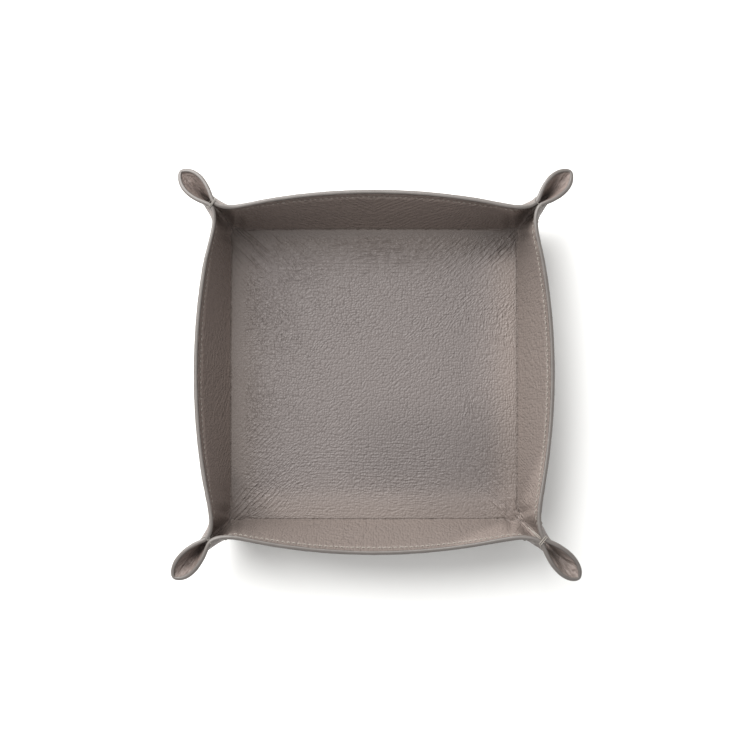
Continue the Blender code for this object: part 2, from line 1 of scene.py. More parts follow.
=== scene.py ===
"""Square leather valet tray: the visual model, built on the tray's CAD frame.

Both leathers follow the middle surface that the CAD was drawn on, with a much finer mesh: mitred
creases, wrinkles where the corners fold, a dented seam line. On them sit a dressed and painted edge,
rows of separate stitches and the thread of each corner tack. The finishes are procedural, laid out on
the flat blank that the tray was folded from, so the grain runs round every fold as leather's does.
"""

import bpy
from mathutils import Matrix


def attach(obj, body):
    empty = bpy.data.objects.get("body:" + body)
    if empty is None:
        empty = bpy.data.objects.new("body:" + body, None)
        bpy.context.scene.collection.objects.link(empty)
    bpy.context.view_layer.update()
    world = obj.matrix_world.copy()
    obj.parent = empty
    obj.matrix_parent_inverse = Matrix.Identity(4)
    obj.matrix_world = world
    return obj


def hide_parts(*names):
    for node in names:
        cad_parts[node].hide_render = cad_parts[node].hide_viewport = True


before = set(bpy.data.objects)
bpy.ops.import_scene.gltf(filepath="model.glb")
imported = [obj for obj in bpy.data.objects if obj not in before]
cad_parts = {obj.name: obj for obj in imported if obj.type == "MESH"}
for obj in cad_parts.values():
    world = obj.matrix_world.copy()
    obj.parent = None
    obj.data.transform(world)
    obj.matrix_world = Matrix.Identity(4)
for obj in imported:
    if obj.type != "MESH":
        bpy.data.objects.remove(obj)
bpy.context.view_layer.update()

import logging
import math
from dataclasses import dataclass
from enum import Enum
from typing import Iterable, Sequence

import bpy
import numpy as np
from mathutils import Matrix, Quaternion, Vector

logging.basicConfig(level=logging.INFO, format="%(message)s")
LOG = logging.getLogger("tray")

Array = np.ndarray

# Sizes of the CAD's middle surface, in metres. A reach is measured from the centre along the diagonal.
MM = 0.001
BASE_HALF = 83.7 * MM
WALL_SLANT = 41.1 * MM
RIM_OVERHANG = 15.9 * MM
RIM_BOW_RADIUS = 341 * MM
RIM_BOW_END_SHARE = 0.79
CREASE_CORNER_RADIUS = 5.0 * MM
KEEL_RISE = math.radians(53.5)
EAR_KEEL_RISE = math.radians(16.0)
KEEL_TURN_BEFORE_PINCH = 1.0 * MM
KEEL_TURN_RUN = 18.0 * MM
DEPTH_RATIO = 1.012
PINCH_OVERHANG = 12.83 * MM
PINCH_ABOVE_RIM = 2.5 * MM
EAR_LENGTH = 27.0 * MM
EAR_HALF_WIDTH = 5.7 * MM
EAR_WIDEST_SHARE = 0.60
EAR_SIDE_DROP = 3.0 * MM
EAR_FALL = math.radians(17)
FAN_RADIUS = 8.5 * MM
LEATHER = 1.0 * MM
GLUE_GAP = 0.3 * MM
BASE_BOARD = 1.2 * MM
WALL_BOARD = 0.5 * MM
SLIT = 0.4 * MM
WALL_BOARD_TOP_MARGIN = 6.5 * MM
WALL_BOARD_END_MARGIN = 21.2 * MM
SEAM_INSET = 3.8 * MM
SEAM_END = 8.0 * MM
PAINT_HEIGHT = 0.5 * MM

# How far hand sewing pulled each corner along x and y: its pinch, then its tip. Keyed by the corner's signs.
CORNER_PULL = {
    (-1, 1): ((-2.4 * MM, -0.3 * MM), (-3.3 * MM, -0.6 * MM)),
    (1, 1): ((-1.3 * MM, -0.3 * MM), (-1.6 * MM, -0.6 * MM)),
    (-1, -1): ((-0.7 * MM, -0.3 * MM), (-0.1 * MM, 1.4 * MM)),
    (1, -1): ((0.8 * MM, 0.0), (2.3 * MM, 1.8 * MM)),
}
CORNER_PULL_START_SHARE = 0.82

# Shares and angles that shape the rim's curves and the folds, as in the CAD.
BOW_HANDLE_SHARE = 0.48
PINCH_INNER_HANDLE_SHARE = 0.24
PINCH_OUTER_HANDLE_SHARE = 0.14
EAR_SIDE_HANDLE_SHARE = 0.50
EAR_FRONT_HANDLE_SHARE = 0.58
EAR_TIP_HANDLE_SHARE = 0.12
FADE_START_SHARE = 0.77
CORNER_SHARE = 0.835
SQUARE_SHARE = 0.93
FAN_START_SHARE = 0.42
FORWARD_START_SHARE = 0.30
LEAN_END_SHARE = 0.60
PINCH_LEAN = math.radians(-10)
EAR_LEAN = math.radians(24)
TIP_FORWARD = math.radians(72)
RISE_HANDLE_SHARE = 0.36
LEVEL_RIM_SHARES = (0.0, 0.62, CORNER_SHARE, 0.91, 1.0)
LEVEL_EAR_SHARES = (0.45, 1.0)
LEVEL_HANDLE_SHARES = (0.36, 0.36, 0.12, 0.17, 0.24, 0.32, 0.36)
RUN_RIM_SHARES = (0.0, 0.50, 0.72, CORNER_SHARE, 0.91, 1.0)
RUN_WALL_SHARES = (0.0, 0.50, 0.745)
RUN_KEEL_SHARES = (0.0, 0.38, 0.77)
RUN_EAR_SHARES = (0.22, 0.45, 0.68, 1.0)
RUN_EAR_KEEL_SHARES = (0.885, 0.962, 0.992, 1.0)

# Derived sizes.
ROOT2 = math.sqrt(2)
HALF_GLUE = GLUE_GAP / 2
STACK_HALF = HALF_GLUE + LEATHER
FLOOR_LIFT = LEATHER + GLUE_GAP + BASE_BOARD / 2
PINCH_HALF = STACK_HALF + SLIT / 2
CREASE_END = BASE_HALF - CREASE_CORNER_RADIUS
CORNER_REACH = ROOT2 * BASE_HALF
KEEL_START = CORNER_REACH - (ROOT2 - 1) * CREASE_CORNER_RADIUS
KEEL_BLEND = 2 * (CORNER_REACH - KEEL_START)
RIM_HALF = BASE_HALF + RIM_OVERHANG
RIM_BOW_END = RIM_BOW_END_SHARE * BASE_HALF
RIM_HEIGHT = FLOOR_LIFT + math.sqrt(WALL_SLANT**2 - RIM_OVERHANG**2)
PINCH_REACH = CORNER_REACH + PINCH_OVERHANG
PINCH_HEIGHT = RIM_HEIGHT + PINCH_ABOVE_RIM
EAR_REACH = PINCH_REACH + EAR_LENGTH
EAR_WIDEST_HEIGHT = PINCH_HEIGHT - EAR_SIDE_DROP
WALL_BOARD_HALF = BASE_HALF - WALL_BOARD_END_MARGIN
KEEL_TURN_START = PINCH_REACH - KEEL_TURN_BEFORE_PINCH
HALF_BLANK = BASE_HALF + WALL_SLANT

DIAGONAL = np.array((1.0, 1.0, 0.0)) / ROOT2
ACROSS = np.array((1.0, -1.0, 0.0)) / ROOT2
UP = np.array((0.0, 0.0, 1.0))


class Side(Enum):
    """The two faces of the folded leathers."""

    INNER = 1
    OUTER = -1


class Wall(Enum):
    """The four walls, by how many quarter turns take the right wall to each."""

    right = 0
    back = 1
    left = 2
    front = 3


class Corner(Enum):
    """The four corners, by how many quarter turns take the first to each."""

    back_right = 0
    back_left = 1
    front_left = 2
    front_right = 3


def ease(x: Array) -> Array:
    """Rise smoothly from 0 to 1: 3x^2 - 2x^3, held flat outside 0 to 1."""
    x = np.clip(x, 0.0, 1.0)
    return x * x * (3 - 2 * x)


def bell(x: Array) -> Array:
    """Bell curve exp(-x^2)."""
    return np.exp(-(x**2))


def unit(vectors: Array) -> Array:
    """Scale vectors along the last axis to length one."""
    return vectors / np.linalg.norm(vectors, axis=-1, keepdims=True)


def bezier(p0: Array, p1: Array, p2: Array, p3: Array, u: Array) -> Array:
    """Cubic curve: the four points weighted by the Bernstein terms of u.

    Args:
        p0: Start.
        p1: First handle's point.
        p2: Second handle's point.
        p3: End.
        u: Places along the curve, 0 to 1.

    Returns:
        The curve's points, with one more axis than u.
    """
    u = np.asarray(u)[..., None]
    v = 1 - u
    return v**3 * p0 + 3 * v * v * u * p1 + 3 * v * u * u * p2 + u**3 * p3


def smooth_through(knots: Array, values: Array, at: Array) -> Array:
    """Cubic curve through the values; its slope at a knot is that of the parabola through its neighbours.

    Args:
        knots: Places where the curve is held, rising.
        values: The curve's value at each.
        at: Places to read.

    Returns:
        The curve's values at those places.
    """
    k, v, at = np.asarray(knots, float), np.asarray(values, float), np.asarray(at, float)
    step = np.diff(k)
    rise = np.diff(v) / step
    slope = np.empty_like(v)
    slope[1:-1] = (rise[:-1] * step[1:] + rise[1:] * step[:-1]) / (step[1:] + step[:-1])
    slope[0], slope[-1] = rise[0], 0.0
    i = np.clip(np.searchsorted(k, at, side="right") - 1, 0, len(step) - 1)
    h, u = step[i], (at - k[i]) / step[i]
    start = (1 + 2 * u) * (1 - u) ** 2 * v[i] + u * (1 - u) ** 2 * h * slope[i]
    end = u * u * (3 - 2 * u) * v[i + 1] + u * u * (u - 1) * h * slope[i + 1]
    return start + end


def spans(*stops: tuple[float, int]) -> Array:
    """Values from the first stop to the last, with a number of even steps up to each next stop.

    Args:
        stops: Pairs of a value and the steps that lead up to it.

    Returns:
        All the values, in order.
    """
    parts = [np.array([stops[0][0]])]
    for (low, _), (high, steps) in zip(stops[:-1], stops[1:]):
        parts.append(np.linspace(low, high, steps + 1)[1:])
    return np.concatenate(parts)


def spot(reach: float, side: float, height: float) -> Array:
    """Point at a reach along the diagonal, a distance to one side of it and a height."""
    return DIAGONAL * reach + ACROSS * side + UP * height


def turned(points: Array, quarter: int) -> Array:
    """Turn points or directions round the centre: each quarter turn takes (x, y) to (-y, x).

    Args:
        points: Points or directions along the last axis.
        quarter: Number of quarter turns.

    Returns:
        The turned points.
    """
    x, y, z = points[..., 0], points[..., 1], points[..., 2]
    for _ in range(quarter):
        x, y = -y, x
    return np.stack((x, y, z), axis=-1)


def octant(points: Array, index: int) -> Array:
    """Place points or directions of the first half wall in another: odd ones are mirrored, then turned.

    Args:
        points: Points or directions along the last axis.
        index: Which of the eight half walls.

    Returns:
        The placed points.
    """
    if index % 2:
        points = points[..., (1, 0, 2)]
    return turned(points, index // 2)


def settle(points: Array) -> Array:
    """Stretch the tray to its depth and pull each corner as hand sewing did: its pinch, then its tip.

    The pull grows with a smooth step along the corner's diagonal, up to the pinch and on to the tip.

    Args:
        points: Points of the even tray, along the last axis.

    Returns:
        The points in their final places.
    """
    flat = points.reshape(-1, 3)
    out = flat * np.array((1.0, DEPTH_RATIO, 1.0))
    for (sx, sy), (pinch, tip) in CORNER_PULL.items():
        reach = (sx * flat[:, 0] + sy * flat[:, 1]) / ROOT2
        first = ease((reach / PINCH_REACH - CORNER_PULL_START_SHARE) / (1 - CORNER_PULL_START_SHARE))
        second = ease((reach - PINCH_REACH) / EAR_LENGTH)
        for axis, sign in ((0, sx), (1, sy)):
            out[:, axis] += sign * (pinch[axis] * first + (tip[axis] - pinch[axis]) * second)
    return out.reshape(points.shape)


class Noise:
    """Smooth value noise on a plane: random heights on a grid, eased between. Always the same."""

    def __init__(self, seed: int, size: int = 256) -> None:
        """Draw the heights of a square grid that repeats after size cells."""
        self.size = size
        self.heights = np.random.default_rng(seed).uniform(-1, 1, (size, size))

    def __call__(self, x: Array, y: Array) -> Array:
        """Blend the four grid heights round each place, weighed by a smooth step each way.

        Args:
            x: First coordinate, in cells.
            y: Second coordinate, in cells.

        Returns:
            Heights from -1 to 1.
        """
        xi, yi = np.floor(x).astype(int), np.floor(y).astype(int)
        u, v = ease(x - xi), ease(y - yi)
        x0, x1 = xi % self.size, (xi + 1) % self.size
        y0, y1 = yi % self.size, (yi + 1) % self.size
        low = self.heights[x0, y0] * (1 - u) + self.heights[x1, y0] * u
        high = self.heights[x0, y1] * (1 - u) + self.heights[x1, y1] * u
        return low * (1 - v) + high * v


class Path:
    """A fine line of points that is read by the distance along it."""

    def __init__(self, points: Array) -> None:
        """Measure the line.

        Args:
            points: Its points, in order.
        """
        self.points = points
        steps = np.linalg.norm(np.diff(points, axis=0), axis=1)
        self.distance = np.concatenate(([0.0], np.cumsum(steps)))

    @property
    def length(self) -> float:
        """The whole line's length."""
        return float(self.distance[-1])

    def carry(self, vectors: Array, distance: Array) -> Array:
        """Read vectors that go with the line's points at these distances along it."""
        return np.stack([np.interp(distance, self.distance, c) for c in vectors.T], axis=-1)

    def at(self, distance: Array) -> Array:
        """Points at these distances."""
        return self.carry(self.points, distance)


class Form:
    """The middle surface of half a wall: curves that cross from the base or the keel to the rim."""

    STEPS = 1500
    SLOPE_STEP = 0.3 * MM
    RISE_STEP_SHARE = 0.004
    OFF_KEEL_SHARE = 0.02
    CLIMB_STEPS = 81

    def __init__(self) -> None:
        """Draw the rim and the base, and pair places on the one with places on the other."""
        self.rim, self.pinch_at = self._rim()
        self.base, self.corner_at = self._base()
        self.ear_rim = self.rim.length - self.pinch_at
        self.run_knots = self.along_rim(RUN_RIM_SHARES, RUN_EAR_SHARES)
        keel = np.multiply(RUN_KEEL_SHARES + RUN_EAR_KEEL_SHARES, self.base.length - self.corner_at)
        self.run_values = np.concatenate((np.multiply(RUN_WALL_SHARES, self.pinch_at), self.corner_at + keel))
        self.level_knots = self.along_rim(LEVEL_RIM_SHARES, LEVEL_EAR_SHARES)

    def along_rim(self, rim_shares: Sequence[float], ear_shares: Sequence[float]) -> Array:
        """Distances along the rim, from shares of it up to the pinch and shares of it beyond."""
        first = np.multiply(rim_shares, self.pinch_at)
        return np.concatenate((first, self.pinch_at + np.multiply(ear_shares, self.ear_rim)))

    @staticmethod
    def keel_height(reach: Array) -> Array:
        """Height of the fold's lowest line: level, then the keel's slope, then the ear's flatter one.

        It is the slope summed along the reach: a parabola where the keel starts, and u^3 - u^4 / 2
        where it turns over the run u into the ear.

        Args:
            reach: Distances from the centre along the diagonal.

        Returns:
            The heights.
        """
        run = np.maximum(reach - KEEL_START, 0.0)
        bend = np.minimum(run, KEEL_BLEND) ** 2 / (2 * KEEL_BLEND) + np.maximum(run - KEEL_BLEND, 0.0)
        u = np.maximum((reach - KEEL_TURN_START) / KEEL_TURN_RUN, 0.0)
        turned_by = np.where(u < 1, u**3 - u**4 / 2, u - 0.5) * KEEL_TURN_RUN
        first, last = math.tan(KEEL_RISE), math.tan(EAR_KEEL_RISE)
        return FLOOR_LIFT + first * bend + (last - first) * turned_by

    @staticmethod
    def keel_slope(reach: Array) -> Array:
        """Slope of the fold's lowest line: 0, then the keel's, then the ear's.

        Args:
            reach: Distances from the centre along the diagonal.

        Returns:
            The slopes: rise by run.
        """
        first, last = math.tan(KEEL_RISE), math.tan(EAR_KEEL_RISE)
        start = np.clip((reach - KEEL_START) / KEEL_BLEND, 0.0, 1.0)
        return start * (first + (last - first) * ease((reach - KEEL_TURN_START) / KEEL_TURN_RUN))

    def _rim(self) -> tuple[Path, float]:
        """Draw the rim: a bowed edge y^2 / 2R, then three cubic curves to the pinch, ear and tip.

        Returns:
            The rim, and the distance along it at which the pinch is.
        """
        u = np.linspace(0, 1, self.STEPS)
        y = u * RIM_BOW_END
        x = RIM_HALF - y * y / (2 * RIM_BOW_RADIUS)
        bow = np.stack((x, y, FLOOR_LIFT + np.sqrt(WALL_SLANT**2 - (x - BASE_HALF) ** 2)), axis=1)
        pinch = spot(PINCH_REACH, PINCH_HALF, PINCH_HEIGHT)
        widest = spot(PINCH_REACH + EAR_WIDEST_SHARE * EAR_LENGTH, EAR_HALF_WIDTH, EAR_WIDEST_HEIGHT)
        tip = spot(EAR_REACH, 0.0, self.keel_height(EAR_REACH))
        falling = DIAGONAL * math.cos(EAR_FALL) - UP * math.sin(EAR_FALL)
        leaving = unit(bow[-1] - bow[-2])

        def curve(start: Array, out: Array, end: Array, into: Array, shares: tuple[float, float]) -> Array:
            """Cubic curve whose handles are shares of its chord."""
            chord = np.linalg.norm(end - start)
            return bezier(start, start + out * chord * shares[0], end - into * chord * shares[1], end, u)

        inner = curve(bow[-1], leaving, pinch, DIAGONAL, (BOW_HANDLE_SHARE, PINCH_INNER_HANDLE_SHARE))
        side = curve(pinch, DIAGONAL, widest, falling, (PINCH_OUTER_HANDLE_SHARE, EAR_SIDE_HANDLE_SHARE))
        front = curve(widest, falling, tip, -ACROSS, (EAR_FRONT_HANDLE_SHARE, EAR_TIP_HANDLE_SHARE))
        rim = Path(np.concatenate((bow, inner[1:], side[1:], front[1:])))
        return rim, float(rim.distance[2 * (self.STEPS - 1)])

    def _base(self) -> tuple[Path, float]:
        """Draw the base: the straight crease, its rounded corner and the keel out to the fan.

        Returns:
            The base, and the distance along it at which the keel starts.
        """
        u = np.linspace(0, 1, self.STEPS)
        level = np.full_like(u, FLOOR_LIFT)
        crease = np.stack((np.full_like(u, BASE_HALF), u * CREASE_END, level), axis=1)
        x = CREASE_END + CREASE_CORNER_RADIUS * np.cos(u * math.pi / 4)
        y = CREASE_END + CREASE_CORNER_RADIUS * np.sin(u * math.pi / 4)
        corner = np.stack((x, y, level), axis=1)
        reach = KEEL_START + u * (EAR_REACH - FAN_RADIUS * math.cos(EAR_KEEL_RISE) - KEEL_START)
        keel = DIAGONAL * reach[:, None] + UP * self.keel_height(reach)[:, None]
        base = Path(np.concatenate((crease, corner[1:], keel[1:])))
        return base, float(base.distance[2 * (self.STEPS - 1)])

    def base_distance(self, rim_at: Array) -> Array:
        """Distance along the base at which the cross line to this place on the rim starts."""
        return smooth_through(self.run_knots, self.run_values, rim_at)

    def cross_lines(self, rim_at: Array) -> tuple[Array, Array, Array, Array]:
        """Draw the cubic curve from the base to the rim at each distance along the rim.

        On the wall it is straight. In the corner it leaves across the keel, and at the ear's tip along
        it, and it arrives leaning by an angle that changes from the pinch to the tip.

        Args:
            rim_at: Distances along the rim.

        Returns:
            The curves' four control points.
        """
        start, end = self.base.at(self.base_distance(rim_at)), self.rim.at(rim_at)
        chord = np.linalg.norm(end - start, axis=1, keepdims=True)
        straight = (end - start) / chord
        slope = self.keel_slope(start @ DIAGONAL)[:, None]
        keel = unit(DIAGONAL + UP * slope)
        corner_at, square_at = CORNER_SHARE * self.pinch_at, SQUARE_SHARE * self.pinch_at
        fan_at = self.pinch_at + FAN_START_SHARE * self.ear_rim
        turn = math.pi / 4 * (1 - ease((rim_at - corner_at) / (square_at - corner_at)))
        turn = turn + math.pi / 2 * ease((rim_at - fan_at) / (self.rim.length - fan_at))
        soft = ACROSS * np.cos(turn)[:, None] + keel * np.sin(turn)[:, None]
        fade_at = FADE_START_SHARE * self.pinch_at
        fade = ease((rim_at - fade_at) / (corner_at - fade_at))[:, None]
        leaving = unit(straight * (1 - fade) + soft * fade)

        off_keel = unit(UP - DIAGONAL * slope)
        out = (rim_at - self.pinch_at) / self.ear_rim
        lean = PINCH_LEAN + (EAR_LEAN - PINCH_LEAN) * ease(out / LEAN_END_SHARE)
        lean = (lean * (1 - ease((out - LEAN_END_SHARE) / (1 - LEAN_END_SHARE))))[:, None]
        forward = (TIP_FORWARD * ease((out - FORWARD_START_SHARE) / (1 - FORWARD_START_SHARE)))[:, None]
        leaning = np.cos(lean) * off_keel + np.sin(lean) * ACROSS
        rising = np.cos(forward) * leaning + np.sin(forward) * keel
        take = ease((rim_at - corner_at) / (self.pinch_at - corner_at))[:, None]
        arriving = unit(straight * (1 - take) + rising * take)
        level = smooth_through(self.level_knots, LEVEL_HANDLE_SHARES, rim_at)[:, None]
        return start, start + leaving * chord * level, end - arriving * chord * RISE_HANDLE_SHARE, end

    def middle(self, rim_at: Array, up: Array) -> Array:
        """Points by distance along the rim (first axis) and share of the way up (second axis)."""
        p0, p1, p2, p3 = (p[:, None, :] for p in self.cross_lines(np.asarray(rim_at, float)))
        return bezier(p0, p1, p2, p3, np.asarray(up, float)[None, :])

    def normals(self, rim_at: Array, up: Array) -> Array:
        """Find unit normals towards the inside: the step up the wall crossed with the step along it.

        Args:
            rim_at: Distances along the rim.
            up: Shares of the way up.

        Returns:
            The normals, even to both sides at the wall's middle and at the ear's tip.
        """
        rim_at, up = np.asarray(rim_at, float), np.asarray(up, float)
        before = np.maximum(rim_at - self.SLOPE_STEP, 0)
        after = np.minimum(rim_at + self.SLOPE_STEP, self.rim.length)
        off_keel = np.maximum(up, self.OFF_KEEL_SHARE)
        along = self.middle(after, off_keel) - self.middle(before, off_keel)
        low, high = np.maximum(up - self.RISE_STEP_SHARE, 0), np.minimum(up + self.RISE_STEP_SHARE, 1)
        rising = self.middle(rim_at, high) - self.middle(rim_at, low)
        normal = np.cross(rising, along)
        normal[rim_at <= 0, :, 1] = 0.0
        at_tip = rim_at >= self.rim.length
        normal[at_tip] -= (normal[at_tip] @ ACROSS)[..., None] * ACROSS
        return unit(normal)

    def blank(self, rim_at: Array, up: Array) -> Array:
        """Find where points lie on the flat blank: a straight share of the way from crease or keel to edge.

        Args:
            rim_at: Distances along the rim.
            up: Shares of the way up.

        Returns:
            Places on the blank: x and y, in metres.
        """
        base_at = self.base_distance(np.asarray(rim_at, float))
        start = self.base.at(base_at)[:, :2]
        on_keel = base_at > self.corner_at
        keel = (KEEL_START + base_at - self.corner_at)[:, None] * DIAGONAL[None, :2]
        start = np.where(on_keel[:, None], keel, start)
        edge = np.asarray(rim_at, float) * HALF_BLANK / self.rim.length
        end = np.stack((np.full_like(edge, HALF_BLANK), edge), axis=1)
        fine = np.linspace(0, 1, self.CLIMB_STEPS)
        steps = np.linalg.norm(np.diff(self.middle(rim_at, fine), axis=1), axis=2)
        climbed = np.concatenate((np.zeros((len(steps), 1)), np.cumsum(steps, axis=1)), axis=1)
        climbed /= climbed[:, -1:]
        share = np.stack([np.interp(up, fine, column) for column in climbed])[..., None]
        return start[:, None] * (1 - share) + end[:, None] * share


@dataclass
class Skin:
    """The whole middle surface as one welded mesh, ready to be offset to either side.

    Attributes:
        points: Middle points.
        steps: Offset directions that keep the creases mitred; one unit moves each face by one unit.
        normals: Unit normals towards the inside of the tray.
        gaps: Half the room between the leathers at each point.
        blank: Signed places on the flat blank.
        faces: Quads that face the inside of the tray.
        loop: The rim's points, in order round the tray.
    """

    points: Array
    steps: Array
    normals: Array
    gaps: Array
    blank: Array
    faces: Array
    loop: Array


@dataclass(frozen=True)
class SkinBuilder:
    """Meshes the form as a skin.

    Attributes:
        form: The surface.
        columns: Distances along the rim of the mesh columns.
        rows: Shares of the way up the wall of the mesh rows.
        insets: Distances from the crease of the floor's rows, from the crease inwards.
    """

    form: Form
    columns: Array
    rows: Array
    insets: Array

    MITRE_REACH = 3.2 * MM
    WALL_HINGE = (0.6 * MM, 1.9 * MM)
    FOOT_HEIGHT = 2.0 * MM
    BOARD_END = (3.0 * MM, 7.0 * MM)
    BOARD_TOP = (0.5 * MM, 2.5 * MM)
    BASE_STEP = (-0.30 * MM, 0.35 * MM)
    SOFT_BASE_STEP = (-2.0 * MM, 4.0 * MM)
    SOFT_START_SHARE = 0.84
    WELD = 1e-4 * MM

    def _floor_extra(self, inset: Array) -> Array:
        """Find the room that the base board adds: a crisp step at the crease, soft by the corners.

        Args:
            inset: Distances from the crease.

        Returns:
            Half the added room, by column and inset.
        """
        corner = self.columns / (CORNER_SHARE * self.form.pinch_at)
        soft = ease((corner - self.SOFT_START_SHARE) / (1 - self.SOFT_START_SHARE))[:, None]
        low, high = (edge + more * soft for edge, more in zip(self.BASE_STEP, self.SOFT_BASE_STEP))
        return (BASE_BOARD + GLUE_GAP) / 2 * ease((inset[None, :] - low) / (high - low))

    def _wall_gap(self) -> Array:
        """Find half the room between the leathers on the wall: the glue, plus the board where there is one.

        Returns:
            The room, by column and row.
        """
        up = self.rows * WALL_SLANT
        foot = self._floor_extra(np.zeros(1)) * (1 - ease(up / self.FOOT_HEIGHT))[None, :]
        along = 1 - ease((self.columns - WALL_BOARD_HALF + self.BOARD_END[0]) / self.BOARD_END[1])
        high = 1 - ease((up - WALL_SLANT + WALL_BOARD_TOP_MARGIN - self.BOARD_TOP[0]) / self.BOARD_TOP[1])
        stiff = ease((up - self.WALL_HINGE[0]) / (self.WALL_HINGE[1] - self.WALL_HINGE[0])) * high
        return HALF_GLUE + foot + (WALL_BOARD + GLUE_GAP) / 2 * along[:, None] * stiff[None, :]

    def build(self) -> Skin:
        """Mesh one half wall and half its part of the floor, and weld eight copies together.

        At a crease the offset step is the mitre of the normals on both sides, (a + b) / (1 + a.b),
        and it fades to the plain normal a few millimetres away.

        Returns:
            The skin.
        """
        form = self.form
        wall = form.middle(self.columns, self.rows)
        wall_normal = form.normals(self.columns, self.rows)
        on_floor = int(np.sum(self.columns <= CORNER_SHARE * form.pinch_at + self.WELD))
        foot = wall_normal[:, 0]
        other = foot[:, (1, 0, 2)].copy()
        other[:on_floor] = UP
        mitre = (foot + other) / (1 + np.sum(foot * other, axis=1, keepdims=True))
        fade = np.clip(1 - self.rows * WALL_SLANT / self.MITRE_REACH, 0, 1)
        wall_step = wall_normal + (mitre - foot)[:, None] * fade[None, :, None]

        insets = self.insets[::-1]
        base = wall[:on_floor, 0] * np.array((1.0, 1.0, 0.0))
        floor = base[:, None] * (1 - insets / BASE_HALF)[None, :, None] + UP * FLOOR_LIFT
        fade = np.clip(1 - insets / self.MITRE_REACH, 0, 1)
        floor_step = UP + (mitre[:on_floor] - UP)[:, None] * fade[None, :, None]
        floor_gap = HALF_GLUE + self._floor_extra(insets)[:on_floor]
        return self._weld(
            (floor, floor_step, np.broadcast_to(UP, floor.shape), floor_gap, floor[..., :2]),
            (wall, wall_step, wall_normal, self._wall_gap(), form.blank(self.columns, self.rows)),
        )

    def _weld(self, *parts: tuple[Array, ...]) -> Skin:
        """Place the parts in all eight half walls and merge the points that they share.

        Args:
            parts: Grids of points, with their steps, normals, gaps and places on the blank.

        Returns:
            The skin, with the steps and normals of merged points averaged.
        """
        stacks: list[list[Array]] = [[], [], [], [], []]
        faces, loop, first = [], [], 0
        for k in range(8):
            for grid, step, normal, gap, blank in parts:
                n, m = grid.shape[:2]
                index = first + np.arange(n * m).reshape(n, m)
                first += n * m
                lifted = np.concatenate((blank, np.zeros_like(blank[..., :1])), axis=-1)
                for stack, vectors in zip(stacks[:3], (grid, step, normal)):
                    stack.append(octant(vectors, k).reshape(-1, 3))
                stacks[3].append(gap.reshape(-1))
                stacks[4].append(octant(lifted, k).reshape(-1, 3)[:, :2])
                corners = (index[:-1, :-1], index[:-1, 1:], index[1:, 1:], index[1:, :-1])
                quads = np.stack(corners, axis=-1).reshape(-1, 4)
                faces.append(quads[:, ::-1] if k % 2 else quads)
            loop.extend(index[:-1, -1] if k % 2 == 0 else index[:0:-1, -1])
        points, steps, normals, gaps, blank = (np.concatenate(s) for s in stacks)
        keys = np.round(points / self.WELD).astype(np.int64)
        _, kept, welded = np.unique(keys, axis=0, return_index=True, return_inverse=True)
        welded = welded.reshape(-1)
        count = np.bincount(welded)[:, None]

        def shared(values: Array) -> Array:
            """Average the vectors of the points that were merged."""
            return np.stack([np.bincount(welded, part) for part in values.T], axis=1) / count

        faces, loop = welded[np.concatenate(faces)], welded[np.array(loop)]
        return Skin(points[kept], shared(steps), unit(shared(normals)), gaps[kept], blank[kept], faces, loop)


class Way(Enum):
    """The ways in which a place on the flat blank is measured: in millimetres, and TURN in radians."""

    RIGHT = "to the right of the centre"
    LEFT = "to the left of the centre"
    BACK = "behind the centre"
    FRONT = "in front of the centre"
    WIDE = "to either side of the centre"
    DEEP = "behind or in front of the centre"
    OUT = "out from the centre, towards the nearest wall"
    TO_END = "nearer to the front or back wall than to a side wall"
    PAST_BACK = "beyond the back crease"
    PAST_LEFT = "beyond the left crease"
    PAST_SIDE = "beyond the left or right crease"
    PAST_END = "beyond the front or back crease"
    PAST_CREASE = "beyond the nearest crease"
    PAST_FRONT_RIGHT = "beyond the front or right crease"
    FROM_FRONT = "from the front crease, backwards"
    EDGE = "from the blank's edge, inwards"
    PAST_NOTCH = "along the wall, beyond the pinch"
    TO_FRONT_LEFT = "to the left plus to the front of the centre"
    ALONG = "from the centre along the nearest corner's diagonal"
    ASIDE = "to one side of that diagonal, positive towards the x axis"
    PAST_CORNER = "beyond the floor's corner, along the diagonal"
    PAST_PINCH = "beyond the pinch, along the diagonal"
    RADIUS = "from the pinch"
    TURN = "round the notch under the pinch, from the keel out to either rim of the ear"
    ACROSS = "across the folds, which fan from beyond the corner and then follow the walls"
    DOWN = "along those folds and the walls, without a jump all round the tray"


Edge = tuple[Way, float, float]


@dataclass(frozen=True)
class Patch:
    """A soft-edged patch of the blank.

    Attributes:
        amount: Its strength.
        edges: Its edges: each is a way, where the patch begins along it and where it is full.
    """

    amount: float
    edges: tuple[Edge, ...]


